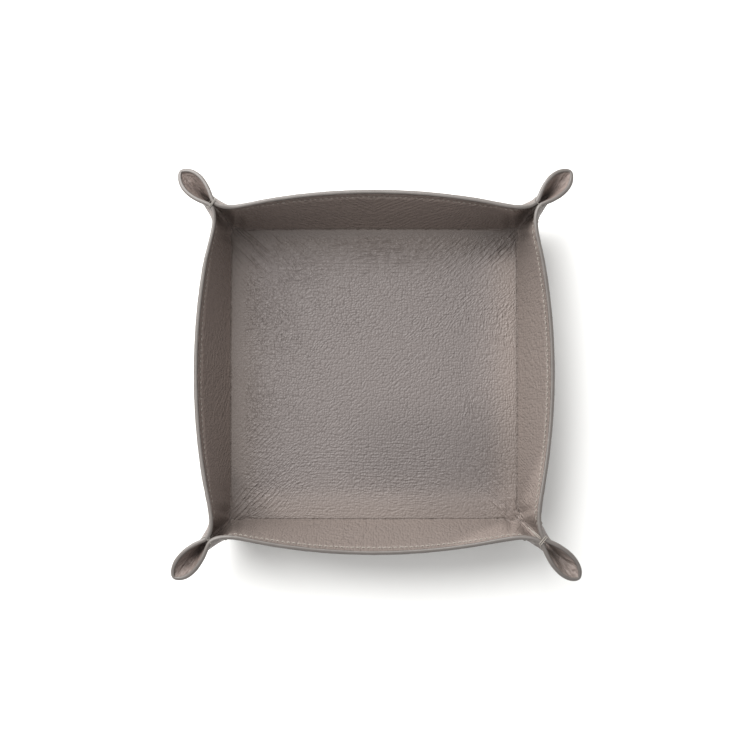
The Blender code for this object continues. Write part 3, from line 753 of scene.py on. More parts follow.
class Places:
    """Places on the blank, measured in every way."""

    NOTCH = 5.0
    LEAST_OUT = 1.0
    FAN_CENTRE = 44.0
    FAN_LENGTH = 30.0
    FAN_CAP = 2.6 * FAN_LENGTH

    def __init__(self, blank: Array, form: Form) -> None:
        """Measure points on the blank.

        Args:
            blank: The points, in metres from the blank's centre.
            form: The surface that the blank is folded to.
        """
        x, y = blank[:, 0] / MM, blank[:, 1] / MM
        wide, deep, base, half = np.abs(x), np.abs(y), BASE_HALF / MM, HALF_BLANK / MM
        hi, lo, diagonal = np.maximum(wide, deep), np.minimum(wide, deep), (wide + deep) / ROOT2
        pinch = form.pinch_at / MM
        notch = pinch * HALF_BLANK / form.rim.length
        self.x, self.y = x, y
        self.corner = np.where(y > 0, np.where(x > 0, 0, 1), np.where(x > 0, 3, 2))
        self.by = {
            Way.RIGHT: x, Way.LEFT: -x, Way.BACK: y, Way.FRONT: -y,
            Way.WIDE: wide, Way.DEEP: deep, Way.OUT: hi, Way.TO_END: deep - wide,
            Way.PAST_BACK: y - base, Way.PAST_LEFT: -x - base, Way.PAST_SIDE: wide - base,
            Way.PAST_END: deep - base, Way.PAST_CREASE: hi - base,
            Way.PAST_FRONT_RIGHT: np.maximum(x, -y) - base, Way.FROM_FRONT: base + y,
            Way.EDGE: half - hi, Way.PAST_NOTCH: lo - pinch, Way.TO_FRONT_LEFT: -x - y,
            Way.ALONG: diagonal, Way.ASIDE: (wide - deep) / ROOT2,
            Way.PAST_CORNER: diagonal - CORNER_REACH / MM, Way.PAST_PINCH: diagonal - pinch * ROOT2,
            Way.RADIUS: np.hypot(half - hi, lo - notch),
            Way.TURN: np.arctan2(
                (wide - deep) / ROOT2, np.maximum(diagonal - ROOT2 * notch + self.NOTCH, self.LEAST_OUT)
            ),
            Way.ACROSS: self._across(base - hi, base - lo) * np.sign(wide - deep),
            Way.DOWN: np.where(wide > deep, y * np.sign(x), x * np.sign(y)),
        }

    @classmethod
    def _across(cls, near: Array, far: Array) -> Array:
        """Count the folds from the diagonal: with both distances d moved out to the fan's centre,
        middle / tanh(middle / L) - near / tanh(far / L), L being the fan's length.

        Args:
            near: Distances from the nearer crease, inwards.
            far: Distances from the other crease, inwards.

        Returns:
            Millimetres across the folds.
        """
        near, far = near + cls.FAN_CENTRE, far + cls.FAN_CENTRE
        middle = np.minimum((near + far) / 2, cls.FAN_CAP)
        return middle / np.tanh(middle / cls.FAN_LENGTH) - near / np.tanh(far / cls.FAN_LENGTH)

    def ramp(self, way: Way, begin: float, full: float) -> Array:
        """Rise smoothly along a way, from 0 where it begins to 1 where it is full."""
        return ease((self.by[way] - begin) / (full - begin))

    def patch(self, *edges: Edge) -> Array:
        """Multiply the ramps of a patch's edges."""
        return math.prod(self.ramp(*edge) for edge in edges)

    def total(self, patches: Iterable[Patch]) -> Array:
        """Sum patches, each its amount times its ramps."""
        return sum(patch.amount * self.patch(*patch.edges) for patch in patches)

    def each(self, shares: Sequence[float]) -> Array:
        """Pick one of four values by the corner that each place is nearest to."""
        return np.array(shares)[self.corner]

    def slow(self, noise: Noise, size: float, shift: float = 0.0) -> Array:
        """Read noise over the blank, in cells of a size in millimetres."""
        return noise(self.x / size + shift, self.y / size)


# How strongly each corner's ear and fold are wrinkled, in the order of the corners.
EAR_FOLDS = (1.0, 0.25, 0.7, 1.0)
CORNER_FOLDS = (0.75, 1.6, 0.9, 1.0)


@dataclass(frozen=True)
class Relief:
    """What folding and sewing did to the leather's faces.

    Attributes:
        form: The surface.
        valley: Height of the wrinkles along the fold from the floor's corner to the pinch.
        fan: Height of the wrinkles that fan out from the pinch on the ear.
        seam: Depth of the dent along the seam.
        swell: Height of the slow unevenness of hand-laid leather.
        ripple: Height of the quicker unevenness on it.
    """

    form: Form
    valley: float = 0.16 * MM
    fan: float = 0.22 * MM
    seam: float = 0.16 * MM
    swell: float = 0.035 * MM
    ripple: float = 0.015 * MM

    # The wrinkled fold: its ends, half its width, how much wider it is on the floor, and its cells.
    FOLD = ((Way.PAST_CORNER, -17, -1), (Way.PAST_PINCH, 14, 0))
    FOLD_WIDTH = (3.4, 2.5)
    FOLD_WIDER = (Way.PAST_CORNER, 13, -17)
    FOLD_CELL = (2.6, 11.0)
    # The ear's wrinkles: where they begin, where they weaken and by what share, and their cells.
    EAR = ((Way.PAST_PINCH, 2, 10), (Way.RADIUS, 1.5, 6.5))
    EAR_TIP = (Way.PAST_PINCH, 16, 32)
    EAR_TIP_SHARE = 0.6
    EAR_LINES = 7.0
    EAR_CELL = 14.0
    EAR_BEND = (0.4, 5.0, 3.0)
    SEAM_WIDTH = 0.7
    SEAM_FADE = 2.0
    SWELL_CELL = 21.0
    RIPPLE_CELL = 8.0
    RIPPLE_SHIFT = 50.0
    CALM_EDGE = (Way.EDGE, 0, 8)
    CORNER_SHIFT = 37.0
    SEEDS = {Side.INNER: (11, 31), Side.OUTER: (12, 32)}

    def height(self, blank: Array, side: Side) -> Array:
        """Find the height above the smooth face: wrinkle noise, stretched along the folds and faded
        out of them, less a bell-shaped dent along the seam, plus slow noise.

        Args:
            blank: Places on the blank.
            side: Which face.

        Returns:
            The heights, in metres.
        """
        place = Places(blank, self.form)
        rough, slow = (Noise(seed) for seed in self.SEEDS[side])
        shift = place.corner * self.CORNER_SHIFT
        along, turn = place.by[Way.ALONG], place.by[Way.TURN]
        width = self.FOLD_WIDTH[0] + self.FOLD_WIDTH[1] * place.ramp(*self.FOLD_WIDER)
        across, down = (place.by[way] / cell for way, cell in zip((Way.ACROSS, Way.DOWN), self.FOLD_CELL))
        wrinkles = rough(across + shift, down)
        valley = place.patch(*self.FOLD) * bell(place.by[Way.ASIDE] / width) * wrinkles

        share, cell, wander = self.EAR_BEND
        bent = share * slow(along / cell, turn * wander + shift)
        rays = rough(turn * self.EAR_LINES + bent + shift, along / self.EAR_CELL)
        weaker = 1 - self.EAR_TIP_SHARE * place.ramp(*self.EAR_TIP)
        fan = place.patch(*self.EAR) * rays * weaker * place.each(EAR_FOLDS)

        end = -SEAM_END / MM
        dent = bell((place.by[Way.EDGE] - SEAM_INSET / MM) / self.SEAM_WIDTH)
        dent = dent * place.ramp(Way.PAST_NOTCH, end + self.SEAM_FADE, end)
        swell = self.swell * place.slow(slow, self.SWELL_CELL)
        swell = swell + self.ripple * place.slow(slow, self.RIPPLE_CELL, self.RIPPLE_SHIFT)
        return self.valley * valley + self.fan * fan - self.seam * dent + swell * place.ramp(*self.CALM_EDGE)


class GrainMap:
    """Says how the leather's grain lies at each place of the blank, and the light and shade painted into its
    colour there, for the shader to read.
    """

    # Where the creases turn to run along the walls, and how far noise sways them.
    NEAR_SIDE = (Way.WIDE, 22, 62)
    NEAR_END = (Way.DEEP, 18, 58)
    SWAY = 0.5
    SWAY_CELL = 14.0
    SWAY_SHIFT = 70.0
    SWAY_SEED = 5
    DIAGONAL_PULL = 1.5
    MIDDLE_LEAN = 0.25
    # How far they are drawn out: anywhere, more by the walls, in the folds and under the ripples.
    DRAWN = 0.40
    DRAWN_BY_WALLS = 0.19
    DRAWN_IN_FOLDS = Patch(0.30, ((Way.ALONG, 92, 114),))
    DRAWN_FOLD_WIDTH = 9.0
    DRAWN_IN_RIPPLES = (
        Patch(0.20, ((Way.BACK, 56, 64), (Way.WIDE, 80, 66))),
        Patch(0.08, ((Way.LEFT, 78, 86), (Way.DEEP, 58, 18))),
    )
    DRAWN_UNEVEN = 0.20
    DRAWN_CELL = 18.0
    DRAWN_SHIFT = 40.0
    # The wrinkles along the folds, which are wider on the floor, and those that fan over the ears.
    FOLD = ((Way.PAST_CORNER, -40, -20), (Way.PAST_PINCH, 2, -6))
    FOLD_WIDTH = (4.0, 5.5)
    FOLD_WIDER = (Way.PAST_CORNER, 2, -24)
    EAR = ((Way.PAST_PINCH, 2, 10), (Way.RADIUS, 1, 5))
    # The ripples across the floor's back and front, clear of the folds, the back wall and the left wall.
    CLEAR = (Way.TO_END, 1, 13)
    RIPPLES = (
        Patch(0.48, (CLEAR, (Way.PAST_BACK, -4, -8), (Way.PAST_BACK, -32, -18), (Way.PAST_SIDE, 0, -10))),
        Patch(0.24, (CLEAR, (Way.FROM_FRONT, 15, 23), (Way.FROM_FRONT, 50, 38), (Way.PAST_SIDE, -4, -16))),
        Patch(0.45, ((Way.PAST_BACK, 2, 5), (Way.PAST_SIDE, 4, -4))),
        Patch(0.35, ((Way.PAST_LEFT, 1, 4), (Way.PAST_LEFT, 28, 18), (Way.PAST_END, 4, -4))),
    )
    # Painted light and shade, in steps of TONE_STEP. The floor's middle is painted darker, its right and
    # front are painted lighter as light bounced off the walls, it is painted darker again along the back, in
    # the back wall's shade, and each corner and ear has painted light and shade of its own.
    TONE_STEP = 0.016
    FLOOR = (Way.PAST_CREASE, 1, -3)
    FLOOR_TONES = (
        Patch(-7, ()),
        Patch(24, ((Way.RIGHT, 50, 82), (Way.BACK, -40, 5), (Way.BACK, 76, 62))),
        Patch(13, ((Way.FRONT, 60, 72),)),
        Patch(-6.5, ((Way.FRONT, 60, 72), (Way.RIGHT, 0, 40))),
        Patch(-8, ((Way.FRONT, 10, 38), (Way.FRONT, 72, 60), (Way.RIGHT, -30, 10), (Way.RIGHT, 82, 62))),
        Patch(-8, ((Way.BACK, 58, 70),)),
        Patch(-8, ((Way.BACK, 62, 72), (Way.RIGHT, 48, 68))),
        Patch(3, ((Way.BACK, 30, 55),)),
        Patch(3, ((Way.LEFT, 40, 60),)),
        Patch(-18, ((Way.TO_FRONT_LEFT, 130, 150),)),
        Patch(8, ((Way.RIGHT, 62, 80), (Way.FRONT, 0, 30))),
    )
    CORNER = (Way.ALONG, 112, 124)
    CORNER_TONES = (-4.0, 0.0, 0.0, 21.0)
    IS_EAR = (Way.PAST_PINCH, 0, 6)
    EAR_TONES = (14.0, 4.0, 4.0, 25.0)
    # Painted light and shade on the walls: lighter on the left wall, most by its foot, darker along the back
    # wall, and lighter by the foot of the front and right walls.
    WALL_TONES = (
        Patch(4, ((Way.PAST_LEFT, 0, 2),)),
        Patch(8, ((Way.PAST_LEFT, 0, 2), (Way.PAST_CREASE, 11, 2))),
        Patch(-3, ((Way.PAST_BACK, 4, 10), (Way.PAST_BACK, 26, 18))),
    )
    SUNNY_WALL_TONES = (Patch(4, ((Way.PAST_FRONT_RIGHT, 0, 2), (Way.PAST_CREASE, 11, 2))),)
    # Painted warmth of light bounced between the leather's faces: red gains and blue loses towards the
    # creases, green loses a little on the dim walls, in shade.
    DIM_WALLS = ((Way.PAST_LEFT, 0, 3), (Way.PAST_BACK, 0, 3))
    WARM = ((Way.OUT, 56, 82), (Way.PAST_CREASE, 0, 3))
    WARM_START = -0.7
    WARM_ON_DIM = 0.5
    WARM_RED, DIM_GREEN, WARM_BLUE = 0.04, -0.02, -0.06
    # The grain's depth. It is pressed flat by the two nearest creases, and weaker at the back and front.
    PRESSED = Patch(0.7, ((Way.PAST_BACK, -3, -7), (Way.PAST_LEFT, -6, -13)))
    SHADED = (Patch(1, ()), Patch(0.2, ((Way.BACK, 10, 35),)), Patch(0.35, ((Way.LEFT, 25, 55),)))
    WEAK_BACK = (Patch(1, ()), Patch(-0.35, ((Way.BACK, 52, 60),)))
    WEAK_FRONT = (Patch(1, ()), Patch(-0.3, ((Way.FRONT, 66, 72),)))
    BACK_WALL, LEFT_WALL, OTHER_WALLS = 0.75, 0.95, 1.25
    DEEPER_FOLD = Patch(0.35, ((Way.ALONG, 96, 108),))
    DEEPER_FOLD_WIDTH = 8.0
    EAR_GRAIN = (Way.PAST_NOTCH, -2, 4)
    EAR_DEPTH = 1.35
    UNEVEN = 0.15
    UNEVEN_CELL = 16.0
    UNEVEN_SEED = 6

    def __init__(self, blank: Array, form: Form) -> None:
        """Measure the places once for all the maps."""
        self.place = Places(blank, form)

    def _in_fold(self, patch: Patch, width: float) -> Array:
        """A patch that lies in the fold: faded to both sides of the diagonal as a bell curve."""
        return self.place.total((patch,)) * bell(self.place.by[Way.ASIDE] / width)

    def flow(self) -> Array:
        """Find the direction of the grain's creases, and how strongly they're drawn out.

        Near a wall they run along it, near a corner along its diagonal, and in the middle they
        lean one way, with slow noise all over.

        Returns:
            Rows of cos 2a and sin 2a of the direction's angle a, and the share drawn out.
        """
        place, sway = self.place, Noise(self.SWAY_SEED)
        near_x, near_y = place.ramp(*self.NEAR_SIDE), place.ramp(*self.NEAR_END)
        far_x, far_y = 1 - near_x, 1 - near_y
        cos2 = near_y * far_x - near_x * far_y + self.SWAY * place.slow(sway, self.SWAY_CELL)
        sin2 = self.DIAGONAL_PULL * near_x * near_y * np.sign(place.x * place.y)
        sin2 = sin2 + self.SWAY * place.slow(sway, self.SWAY_CELL, self.SWAY_SHIFT)
        sin2 = sin2 + self.MIDDLE_LEAN * far_x * far_y
        folded = self._in_fold(self.DRAWN_IN_FOLDS, self.DRAWN_FOLD_WIDTH)
        drawn = self.DRAWN + self.DRAWN_BY_WALLS * np.maximum(near_x, near_y)
        drawn = drawn + np.maximum(folded, place.total(self.DRAWN_IN_RIPPLES))
        uneven = sway(place.x / self.DRAWN_CELL, place.y / self.DRAWN_CELL + self.DRAWN_SHIFT)
        drawn = np.clip(drawn + self.DRAWN_UNEVEN * uneven, 0, 1)
        length = np.maximum(np.hypot(cos2, sin2), 1e-6)
        return np.stack((cos2 / length, sin2 / length, drawn), axis=1)

    def folds(self) -> Array:
        """Places for the wrinkles: millimetres across and along the folds, and the turn round the pinch."""
        return np.stack([self.place.by[way] for way in (Way.ACROSS, Way.DOWN, Way.TURN)], axis=1)

    def masks(self) -> Array:
        """Find how strong the grain, the wrinkles along the folds and those that fan over the ears are.

        Returns:
            Rows of the three strengths.
        """
        place = self.place
        width = self.FOLD_WIDTH[0] + self.FOLD_WIDTH[1] * place.ramp(*self.FOLD_WIDER)
        folded = place.patch(*self.FOLD) * bell(place.by[Way.ASIDE] / width) * place.each(CORNER_FOLDS)
        rippled = place.total(self.RIPPLES) * (1 - np.minimum(folded, 1))
        ear = place.patch(*self.EAR) * place.each(EAR_FOLDS)
        return np.stack((self._depth(), np.maximum(folded, rippled), ear), axis=1)

    def painted_light_and_shade(self) -> Array:
        """Find the painted light and shade: by what the leather is painted lighter, darker, warmer or cooler,
        standing in for light bounced off the walls and the shade that they cast.

        Returns:
            Rows of factors for red, green and blue.
        """
        place = self.place
        ear = place.ramp(*self.IS_EAR)
        corners = place.each(self.CORNER_TONES) * place.ramp(*self.CORNER) + place.total(self.WALL_TONES)
        tone = corners * (1 - ear) + place.each(self.EAR_TONES) * ear + place.total(self.SUNNY_WALL_TONES)
        pale = 1 + self.TONE_STEP * (tone + place.ramp(*self.FLOOR) * place.total(self.FLOOR_TONES))
        dim = np.maximum(*(place.ramp(*edge) for edge in self.DIM_WALLS))
        warm = np.maximum(*(place.ramp(*edge) for edge in self.WARM))
        warm = warm + self.WARM_START + self.WARM_ON_DIM * dim
        factors = (1 + self.WARM_RED * warm, 1 + self.DIM_GREEN * dim, 1 + self.WARM_BLUE * warm)
        return np.stack([pale * factor for factor in factors], axis=1)

    def _depth(self) -> Array:
        """Find how deep the grain is: full on the floor and in the folds, less on walls and by two creases.

        Returns:
            The depth at each place, 1 being the usual one.
        """
        place = self.place
        floor = 1 - self.PRESSED.amount * (1 - place.patch(*self.PRESSED.edges))
        for share in (self.SHADED, self.WEAK_BACK, self.WEAK_FRONT):
            floor = floor * place.total(share)
        wall = np.where(place.by[Way.PAST_LEFT] > 0, self.LEFT_WALL, self.OTHER_WALLS)
        wall = np.where(place.by[Way.PAST_BACK] > 0, self.BACK_WALL, wall)
        depth = np.where(place.by[Way.PAST_CREASE] < 0, floor, wall)
        depth = depth * (1 + self._in_fold(self.DEEPER_FOLD, self.DEEPER_FOLD_WIDTH))
        ear = place.ramp(*self.EAR_GRAIN)
        depth = depth * (1 - ear) + self.EAR_DEPTH * ear
        return depth * (1 + self.UNEVEN * place.slow(Noise(self.UNEVEN_SEED), self.UNEVEN_CELL))


def finished_mesh(
    name: str, points: Array, faces: Sequence[Array], material: bpy.types.Material
) -> bpy.types.Object:
    """Make a smooth-shaded object.

    Args:
        name: The object's name.
        points: Its points, in metres.
        faces: Arrays of faces, each with rows of three or of four point numbers.
        material: Its material.

    Returns:
        The new object, at the origin, linked to the scene.
    """
    mesh = bpy.data.meshes.new(name)
    loops = np.concatenate([f.reshape(-1) for f in faces]).astype(np.int32)
    sizes = np.concatenate([np.full(len(f), f.shape[1]) for f in faces])
    mesh.vertices.add(len(points))
    mesh.vertices.foreach_set("co", np.ascontiguousarray(points, np.float32).reshape(-1))
    mesh.loops.add(len(loops))
    mesh.loops.foreach_set("vertex_index", loops)
    mesh.polygons.add(len(sizes))
    starts = np.concatenate(([0], np.cumsum(sizes)[:-1])).astype(np.int32)
    mesh.polygons.foreach_set("loop_start", starts)
    mesh.update(calc_edges=True)
    mesh.validate()
    mesh.shade_smooth()
    mesh.materials.append(material)
    made = bpy.data.objects.new(name, mesh)
    bpy.context.collection.objects.link(made)
    return made


def point_uv(mesh: bpy.types.Mesh, name: str, values: Array) -> None:
    """Lay a UV map over the mesh.

    Args:
        mesh: The mesh.
        name: The map's name.
        values: One pair per point.
    """
    layer = mesh.uv_layers.new(name=name)
    vertex = np.empty(len(mesh.loops), np.int32)
    mesh.loops.foreach_get("vertex_index", vertex)
    layer.data.foreach_set("uv", np.ascontiguousarray(values[vertex], np.float32).reshape(-1))


def point_vectors(mesh: bpy.types.Mesh, name: str, values: Array) -> None:
    """Store one vector per point for the shader."""
    layer = mesh.attributes.new(name, "FLOAT_VECTOR", "POINT")
    layer.data.foreach_set("vector", np.ascontiguousarray(values, np.float32).reshape(-1))


def dressed(made: bpy.types.Object, node: str) -> bpy.types.Object:
    """Put a piece under the root body and hide the CAD node that it replaces.

    Args:
        made: The piece.
        node: The node's name.

    Returns:
        The piece.
    """
    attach(made, "root")
    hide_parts(node)
    return made


Wire = bpy.types.NodeSocket
Value = Wire | float | Sequence[float]
Inputs = dict[int | str, Value]
Colour = tuple[float, float, float]


def shaded(color: Colour, share: float) -> Colour:
    """A colour made lighter or darker by a share."""
    return tuple(c * share for c in color)


class Wiring:
    """Shorthand for one material's node tree."""

    # Where a mix node that works on colours has its two colours and its result.
    MIX_COLORS, MIX_RESULT = (6, 7), 2

    def __init__(self, name: str) -> None:
        """Start a material with a plain shader.

        Args:
            name: The material's name.
        """
        self.material = bpy.data.materials.new(name)
        self.material.use_nodes = True
        self.tree = self.material.node_tree
        self.shader = self.tree.nodes["Principled BSDF"]

    def plug(self, socket: Wire, value: Value) -> None:
        """Link a socket, or set its constant.

        Args:
            socket: An input.
            value: What it takes.
        """
        if isinstance(value, Wire):
            self.tree.links.new(value, socket)
        else:
            socket.default_value = value

    def add(self, kind: str, inputs: Inputs | None = None, **settings: object) -> bpy.types.Node:
        """Add a node, set its options and plug its inputs.

        Args:
            kind: The node's type.
            inputs: Values or links by the input's number or name.
            settings: The node's options.

        Returns:
            The node.
        """
        node = self.tree.nodes.new(kind)
        for key, value in settings.items():
            setattr(node, key, value)
        for key, value in (inputs or {}).items():
            self.plug(node.inputs[key], value)
        return node

    def math(self, operation: str, a: Value, b: Value = 0.0, c: Value = 0.0) -> Wire:
        """One arithmetic step on numbers."""
        return self.add("ShaderNodeMath", {0: a, 1: b, 2: c}, operation=operation).outputs[0]

    def times(self, a: Value, b: Value, plus: Value = 0.0) -> Wire:
        """Product of two numbers, plus a third."""
        return self.math("MULTIPLY_ADD", a, b, plus)

    def vector(self, operation: str, a: Value, b: Value = (0, 0, 0)) -> Wire:
        """One arithmetic step on vectors."""
        return self.add("ShaderNodeVectorMath", {0: a, 1: b}, operation=operation).outputs[0]

    def joined(self, *parts: Value) -> Wire:
        """A vector of three numbers."""
        return self.add("ShaderNodeCombineXYZ", dict(enumerate(parts))).outputs[0]

    def split(self, vector: Wire) -> Sequence[Wire]:
        """The three numbers of a vector."""
        return self.add("ShaderNodeSeparateXYZ", {0: vector}).outputs

    def stored(self, name: str) -> Wire:
        """A vector that the mesh stores for each point."""
        return self.add("ShaderNodeAttribute", attribute_name=name).outputs["Vector"]

    def uv(self, name: str) -> Wire:
        """The piece's own UV map."""
        return self.add("ShaderNodeUVMap", uv_map=name).outputs[0]

    def place(self) -> Wire:
        """The point's place on the object."""
        return self.add("ShaderNodeTexCoord").outputs["Object"]

    def noise(self, at: Wire, scale: float, detail: float = 2.0, output: int = 0) -> Wire:
        """Smooth noise: output 0 is a factor from 0 to 1, and output 1 a colour."""
        inputs = {"Vector": at, "Scale": scale, "Detail": detail}
        return self.add("ShaderNodeTexNoise", inputs).outputs[output]

    def bump(self, height: Wire, distance: float, strength: float = 1.0) -> Wire:
        """Normals as if the surface stood up by a height times a distance."""
        inputs = {"Height": height, "Strength": strength, "Distance": distance}
        return self.add("ShaderNodeBump", inputs).outputs[0]

    def tint(self, factor: Wire, color: Colour, dark: float, light: float) -> Wire:
        """Shade a colour by a factor.

        Args:
            factor: 0 for dark to 1 for light.
            color: The colour.
            dark: Its share at 0.
            light: Its share at 1.

        Returns:
            The shaded colour.
        """
        mix = self.add("ShaderNodeMix", {0: factor}, data_type="RGBA")
        for socket, share in zip(self.MIX_COLORS, (dark, light)):
            self.plug(mix.inputs[socket], (*shaded(color, share), 1.0))
        return mix.outputs[self.MIX_RESULT]

    def finish(self, **sockets: Value) -> bpy.types.Material:
        """Plug the shader's sockets, named with underscores for spaces.

        Args:
            sockets: Values or links by the socket's name.

        Returns:
            The material.
        """
        for key, value in sockets.items():
            self.plug(self.shader.inputs[key.replace("_", " ")], value)
        return self.material


@dataclass(frozen=True)
class LeatherFinish:
    """Pebbled, semi-matt leather.

    Attributes:
        color: Base colour, linear.
        relief: Depth of the grain in metres.
        pebble: Size of the grain's cells in millimetres.
        roughness: Base roughness.
        gloss: Strength of the surface's reflection.
        warps: Pairs of the scale and the reach of the noise that bends the grain, in millimetres.
        stretch: By what the creases are drawn out: scale along them and across them.
        creases: Height of the creases, where they are fully drawn out.
        crease_detail: Octaves of the creases' noise.
        cell_shape: How soft the cells' borders are, and how irregular the cells.
        cell_dome: A cell's squared radius that lies level, and the height of its dome.
        softness: Height of the soft unevenness on the pebbles, and its scale in pebbles.
        pebbles_drawn: Height of the pebbles, and what they lose where the creases are drawn out.
        ropes: Height of the wrinkles along the corners' folds, in units of the grain's depth.
        rope_scale: Noise cells per millimetre across the folds and along them.
        rope_waves: Sine waves of the ropes: their pitch across the folds and how far noise shifts them.
        rope_uneven: Scale and height of the noise that makes the ropes uneven.
        rays: Height of the wrinkles that fan over the ears, in the same units.
        ray_scale: Their noise cells per radian round the pinch and per millimetre along the fold.
        round_tray: Noise cells per millimetre of the blank that tell one corner's folds from another's.
        pores: Height of the pores, and their scale.
        blotches: How much the tone varies, and its scale.
        tones: Tone of plain leather, the painted shade that the grain's height puts in its hollows, the
            painted shade in the wrinkles' creases, and the painted light in the folds and ripples.
        shades: Share of the colour at the darkest tone, in the painted shade of the hollows, and at the
            lightest, on the heights.
        worn: What the grain's height takes from the roughness.
    """

    color: Colour
    relief: float = 0.17 * MM
    pebble: float = 1.4
    roughness: float = 0.54
    gloss: float = 0.48
    warps: tuple[tuple[float, float], ...] = ((0.10, 3.0), (0.40, 0.5))
    stretch: tuple[float, float] = (0.40, 1.35)
    creases: float = 8.5
    crease_detail: float = 1.6
    cell_shape: tuple[float, float] = (0.2, 0.8)
    cell_dome: tuple[float, float] = (0.22, 2.4)
    softness: tuple[float, float] = (0.8, 1.9)
    pebbles_drawn: tuple[float, float] = (1.15, -0.75)
    ropes: float = 1.15
    rope_scale: tuple[float, float] = (0.42, 0.075)
    rope_waves: tuple[float, float] = (3.1, 8.0)
    rope_uneven: tuple[float, float] = (0.8, 2.0)
    rays: float = 12.0
    ray_scale: tuple[float, float] = (13.0, 0.05)
    round_tray: tuple[float, float] = (0.033, 0.007)
    pores: tuple[float, float] = (0.10, 2.6)
    blotches: tuple[float, float] = (0.16, 0.055)
    tones: tuple[float, float, float, float] = (0.40, 0.16, 0.08, 0.20)
    shades: tuple[float, float] = (0.74, 1.20)
    worn: float = -0.10

    def _grain(self, w: Wiring, blank: Wire) -> Wire:
        """Wire the grain: cells, plus creases drawn out along four directions, weighed by the flow map.

        The creases are the sum, over the directions, of weight * (noise - 1/2), times the square of
        the share drawn out. A pebble is a dome, level - distance^2.

        Args:
            w: The material.
            blank: Places on the blank, in millimetres.

        Returns:
            The grain's height.
        """
        place = blank
        for scale, reach in self.warps:
            drift = w.vector("SUBTRACT", w.noise(blank, scale, 1.0, output=1), (0.5, 0.5, 0.5))
            place = w.vector("ADD", place, w.vector("MULTIPLY", drift, (reach, reach, 0)))
        cos2, sin2, drawn = w.split(w.stored("flow"))
        creases = 0.0
        for angle, part, sign in ((0, cos2, 1.0), (45, sin2, 1.0), (90, cos2, -1.0), (135, sin2, -1.0)):
            weight = w.math("MAXIMUM", w.math("MULTIPLY", part, sign), 0.0)
            rotated = w.add("ShaderNodeVectorRotate", {"Vector": place, "Angle": -math.radians(angle)})
            drawn_out = w.vector("MULTIPLY", rotated.outputs[0], (*self.stretch, 1.0))
            lines = w.noise(drawn_out, 1.0 / self.pebble, self.crease_detail)
            creases = w.times(w.math("SUBTRACT", lines, 0.5), weight, creases)
        creases = w.times(creases, w.math("MULTIPLY", drawn, drawn))

        smooth, random = self.cell_shape
        inputs = {"Vector": place, "Scale": 1.0 / self.pebble, "Smoothness": smooth, "Randomness": random}
        voronoi = w.add("ShaderNodeTexVoronoi", inputs, feature="SMOOTH_F1", voronoi_dimensions="2D")
        cells = voronoi.outputs["Distance"]
        level, dome = self.cell_dome
        pebbles = w.times(w.math("SUBTRACT", level, w.math("MULTIPLY", cells, cells)), dome)
        height, scale = self.softness
        soft = w.math("SUBTRACT", w.noise(place, scale / self.pebble, 1.5), 0.5)
        full, lost = self.pebbles_drawn
        pebbles = w.times(w.times(soft, height, pebbles), w.times(drawn, lost, full))
        return w.times(creases, self.creases, pebbles)

    def _folded(self, w: Wiring, blank: Wire, valley: Wire, ear: Wire) -> Wire:
        """Wire the wrinkles: ropes, sin(pitch * across + noise) * noise, and rays of plain noise on the ears.

        Args:
            w: The material.
            blank: Places on the blank, in millimetres.
            valley: How strong the ropes are.
            ear: How strong the rays are.

        Returns:
            The wrinkles' height.
        """
        across, down, turn = w.split(w.stored("folds"))
        x, y, _ = w.split(blank)
        tray = w.times(x, self.round_tray[0], w.math("MULTIPLY", y, self.round_tray[1]))

        def cells(way: Wire, scales: tuple[float, float]) -> Wire:
            """Places in a noise whose cells are drawn out along the folds."""
            return w.joined(w.math("MULTIPLY", way, scales[0]), w.math("MULTIPLY", down, scales[1]), tray)

        rope = cells(across, self.rope_scale)
        pitch, shift = self.rope_waves
        phase = w.times(w.noise(rope, 1.0, 0.5), shift, w.math("MULTIPLY", across, pitch))
        scale, height = self.rope_uneven
        uneven = w.times(w.noise(rope, scale, 0.0), height)
        ropes = w.times(w.times(w.math("SINE", phase), uneven), self.ropes)
        rays = w.noise(cells(turn, self.ray_scale), 1.0)
        rays = w.times(w.math("SUBTRACT", rays, 0.5), self.rays)
        return w.times(ropes, valley, w.math("MULTIPLY", rays, ear))

    def make(self, name: str) -> bpy.types.Material:
        """Wire the leather: its height drives the bump, paints shade into its hollows and roughens it a
        little; its wrinkles paint shade into their creases, and its folds and ripples are painted lighter.

        Args:
            name: The material's name.

        Returns:
            The material.
        """
        w = Wiring(name)
        blank = w.vector("MULTIPLY", w.uv("blank"), (1 / MM, 1 / MM, 0))
        strength, valley, ear = w.split(w.stored("grain"))
        grain = w.math("MULTIPLY", self._grain(w, blank), strength)
        deep, scale = self.pores
        height = w.times(w.noise(blank, scale), deep, grain)
        folded = self._folded(w, blank, valley, ear)

        spread, scale = self.blotches
        plain, shade_by_height, shade_in_creases, light_in_folds = self.tones
        # Painted shade in the grain's hollows and the wrinkles' creases, and painted light in the folds and
        # ripples, on top of random blotches.
        tone = w.times(height, shade_by_height, w.times(w.noise(blank, scale, 3.0), spread, plain))
        tone = w.times(folded, shade_in_creases, w.times(valley, light_in_folds, tone))
        color = w.tint(w.add("ShaderNodeClamp", {0: tone}).outputs[0], self.color, *self.shades)
        return w.finish(
            # The colour is multiplied by the painted light and shade stored on the points.
            Base_Color=w.vector("MULTIPLY", color, w.stored("painted_light_and_shade")),
            Roughness=w.times(height, self.worn, self.roughness),
            Normal=w.bump(w.math("ADD", height, folded), self.relief),
            Specular_IOR_Level=self.gloss,
        )


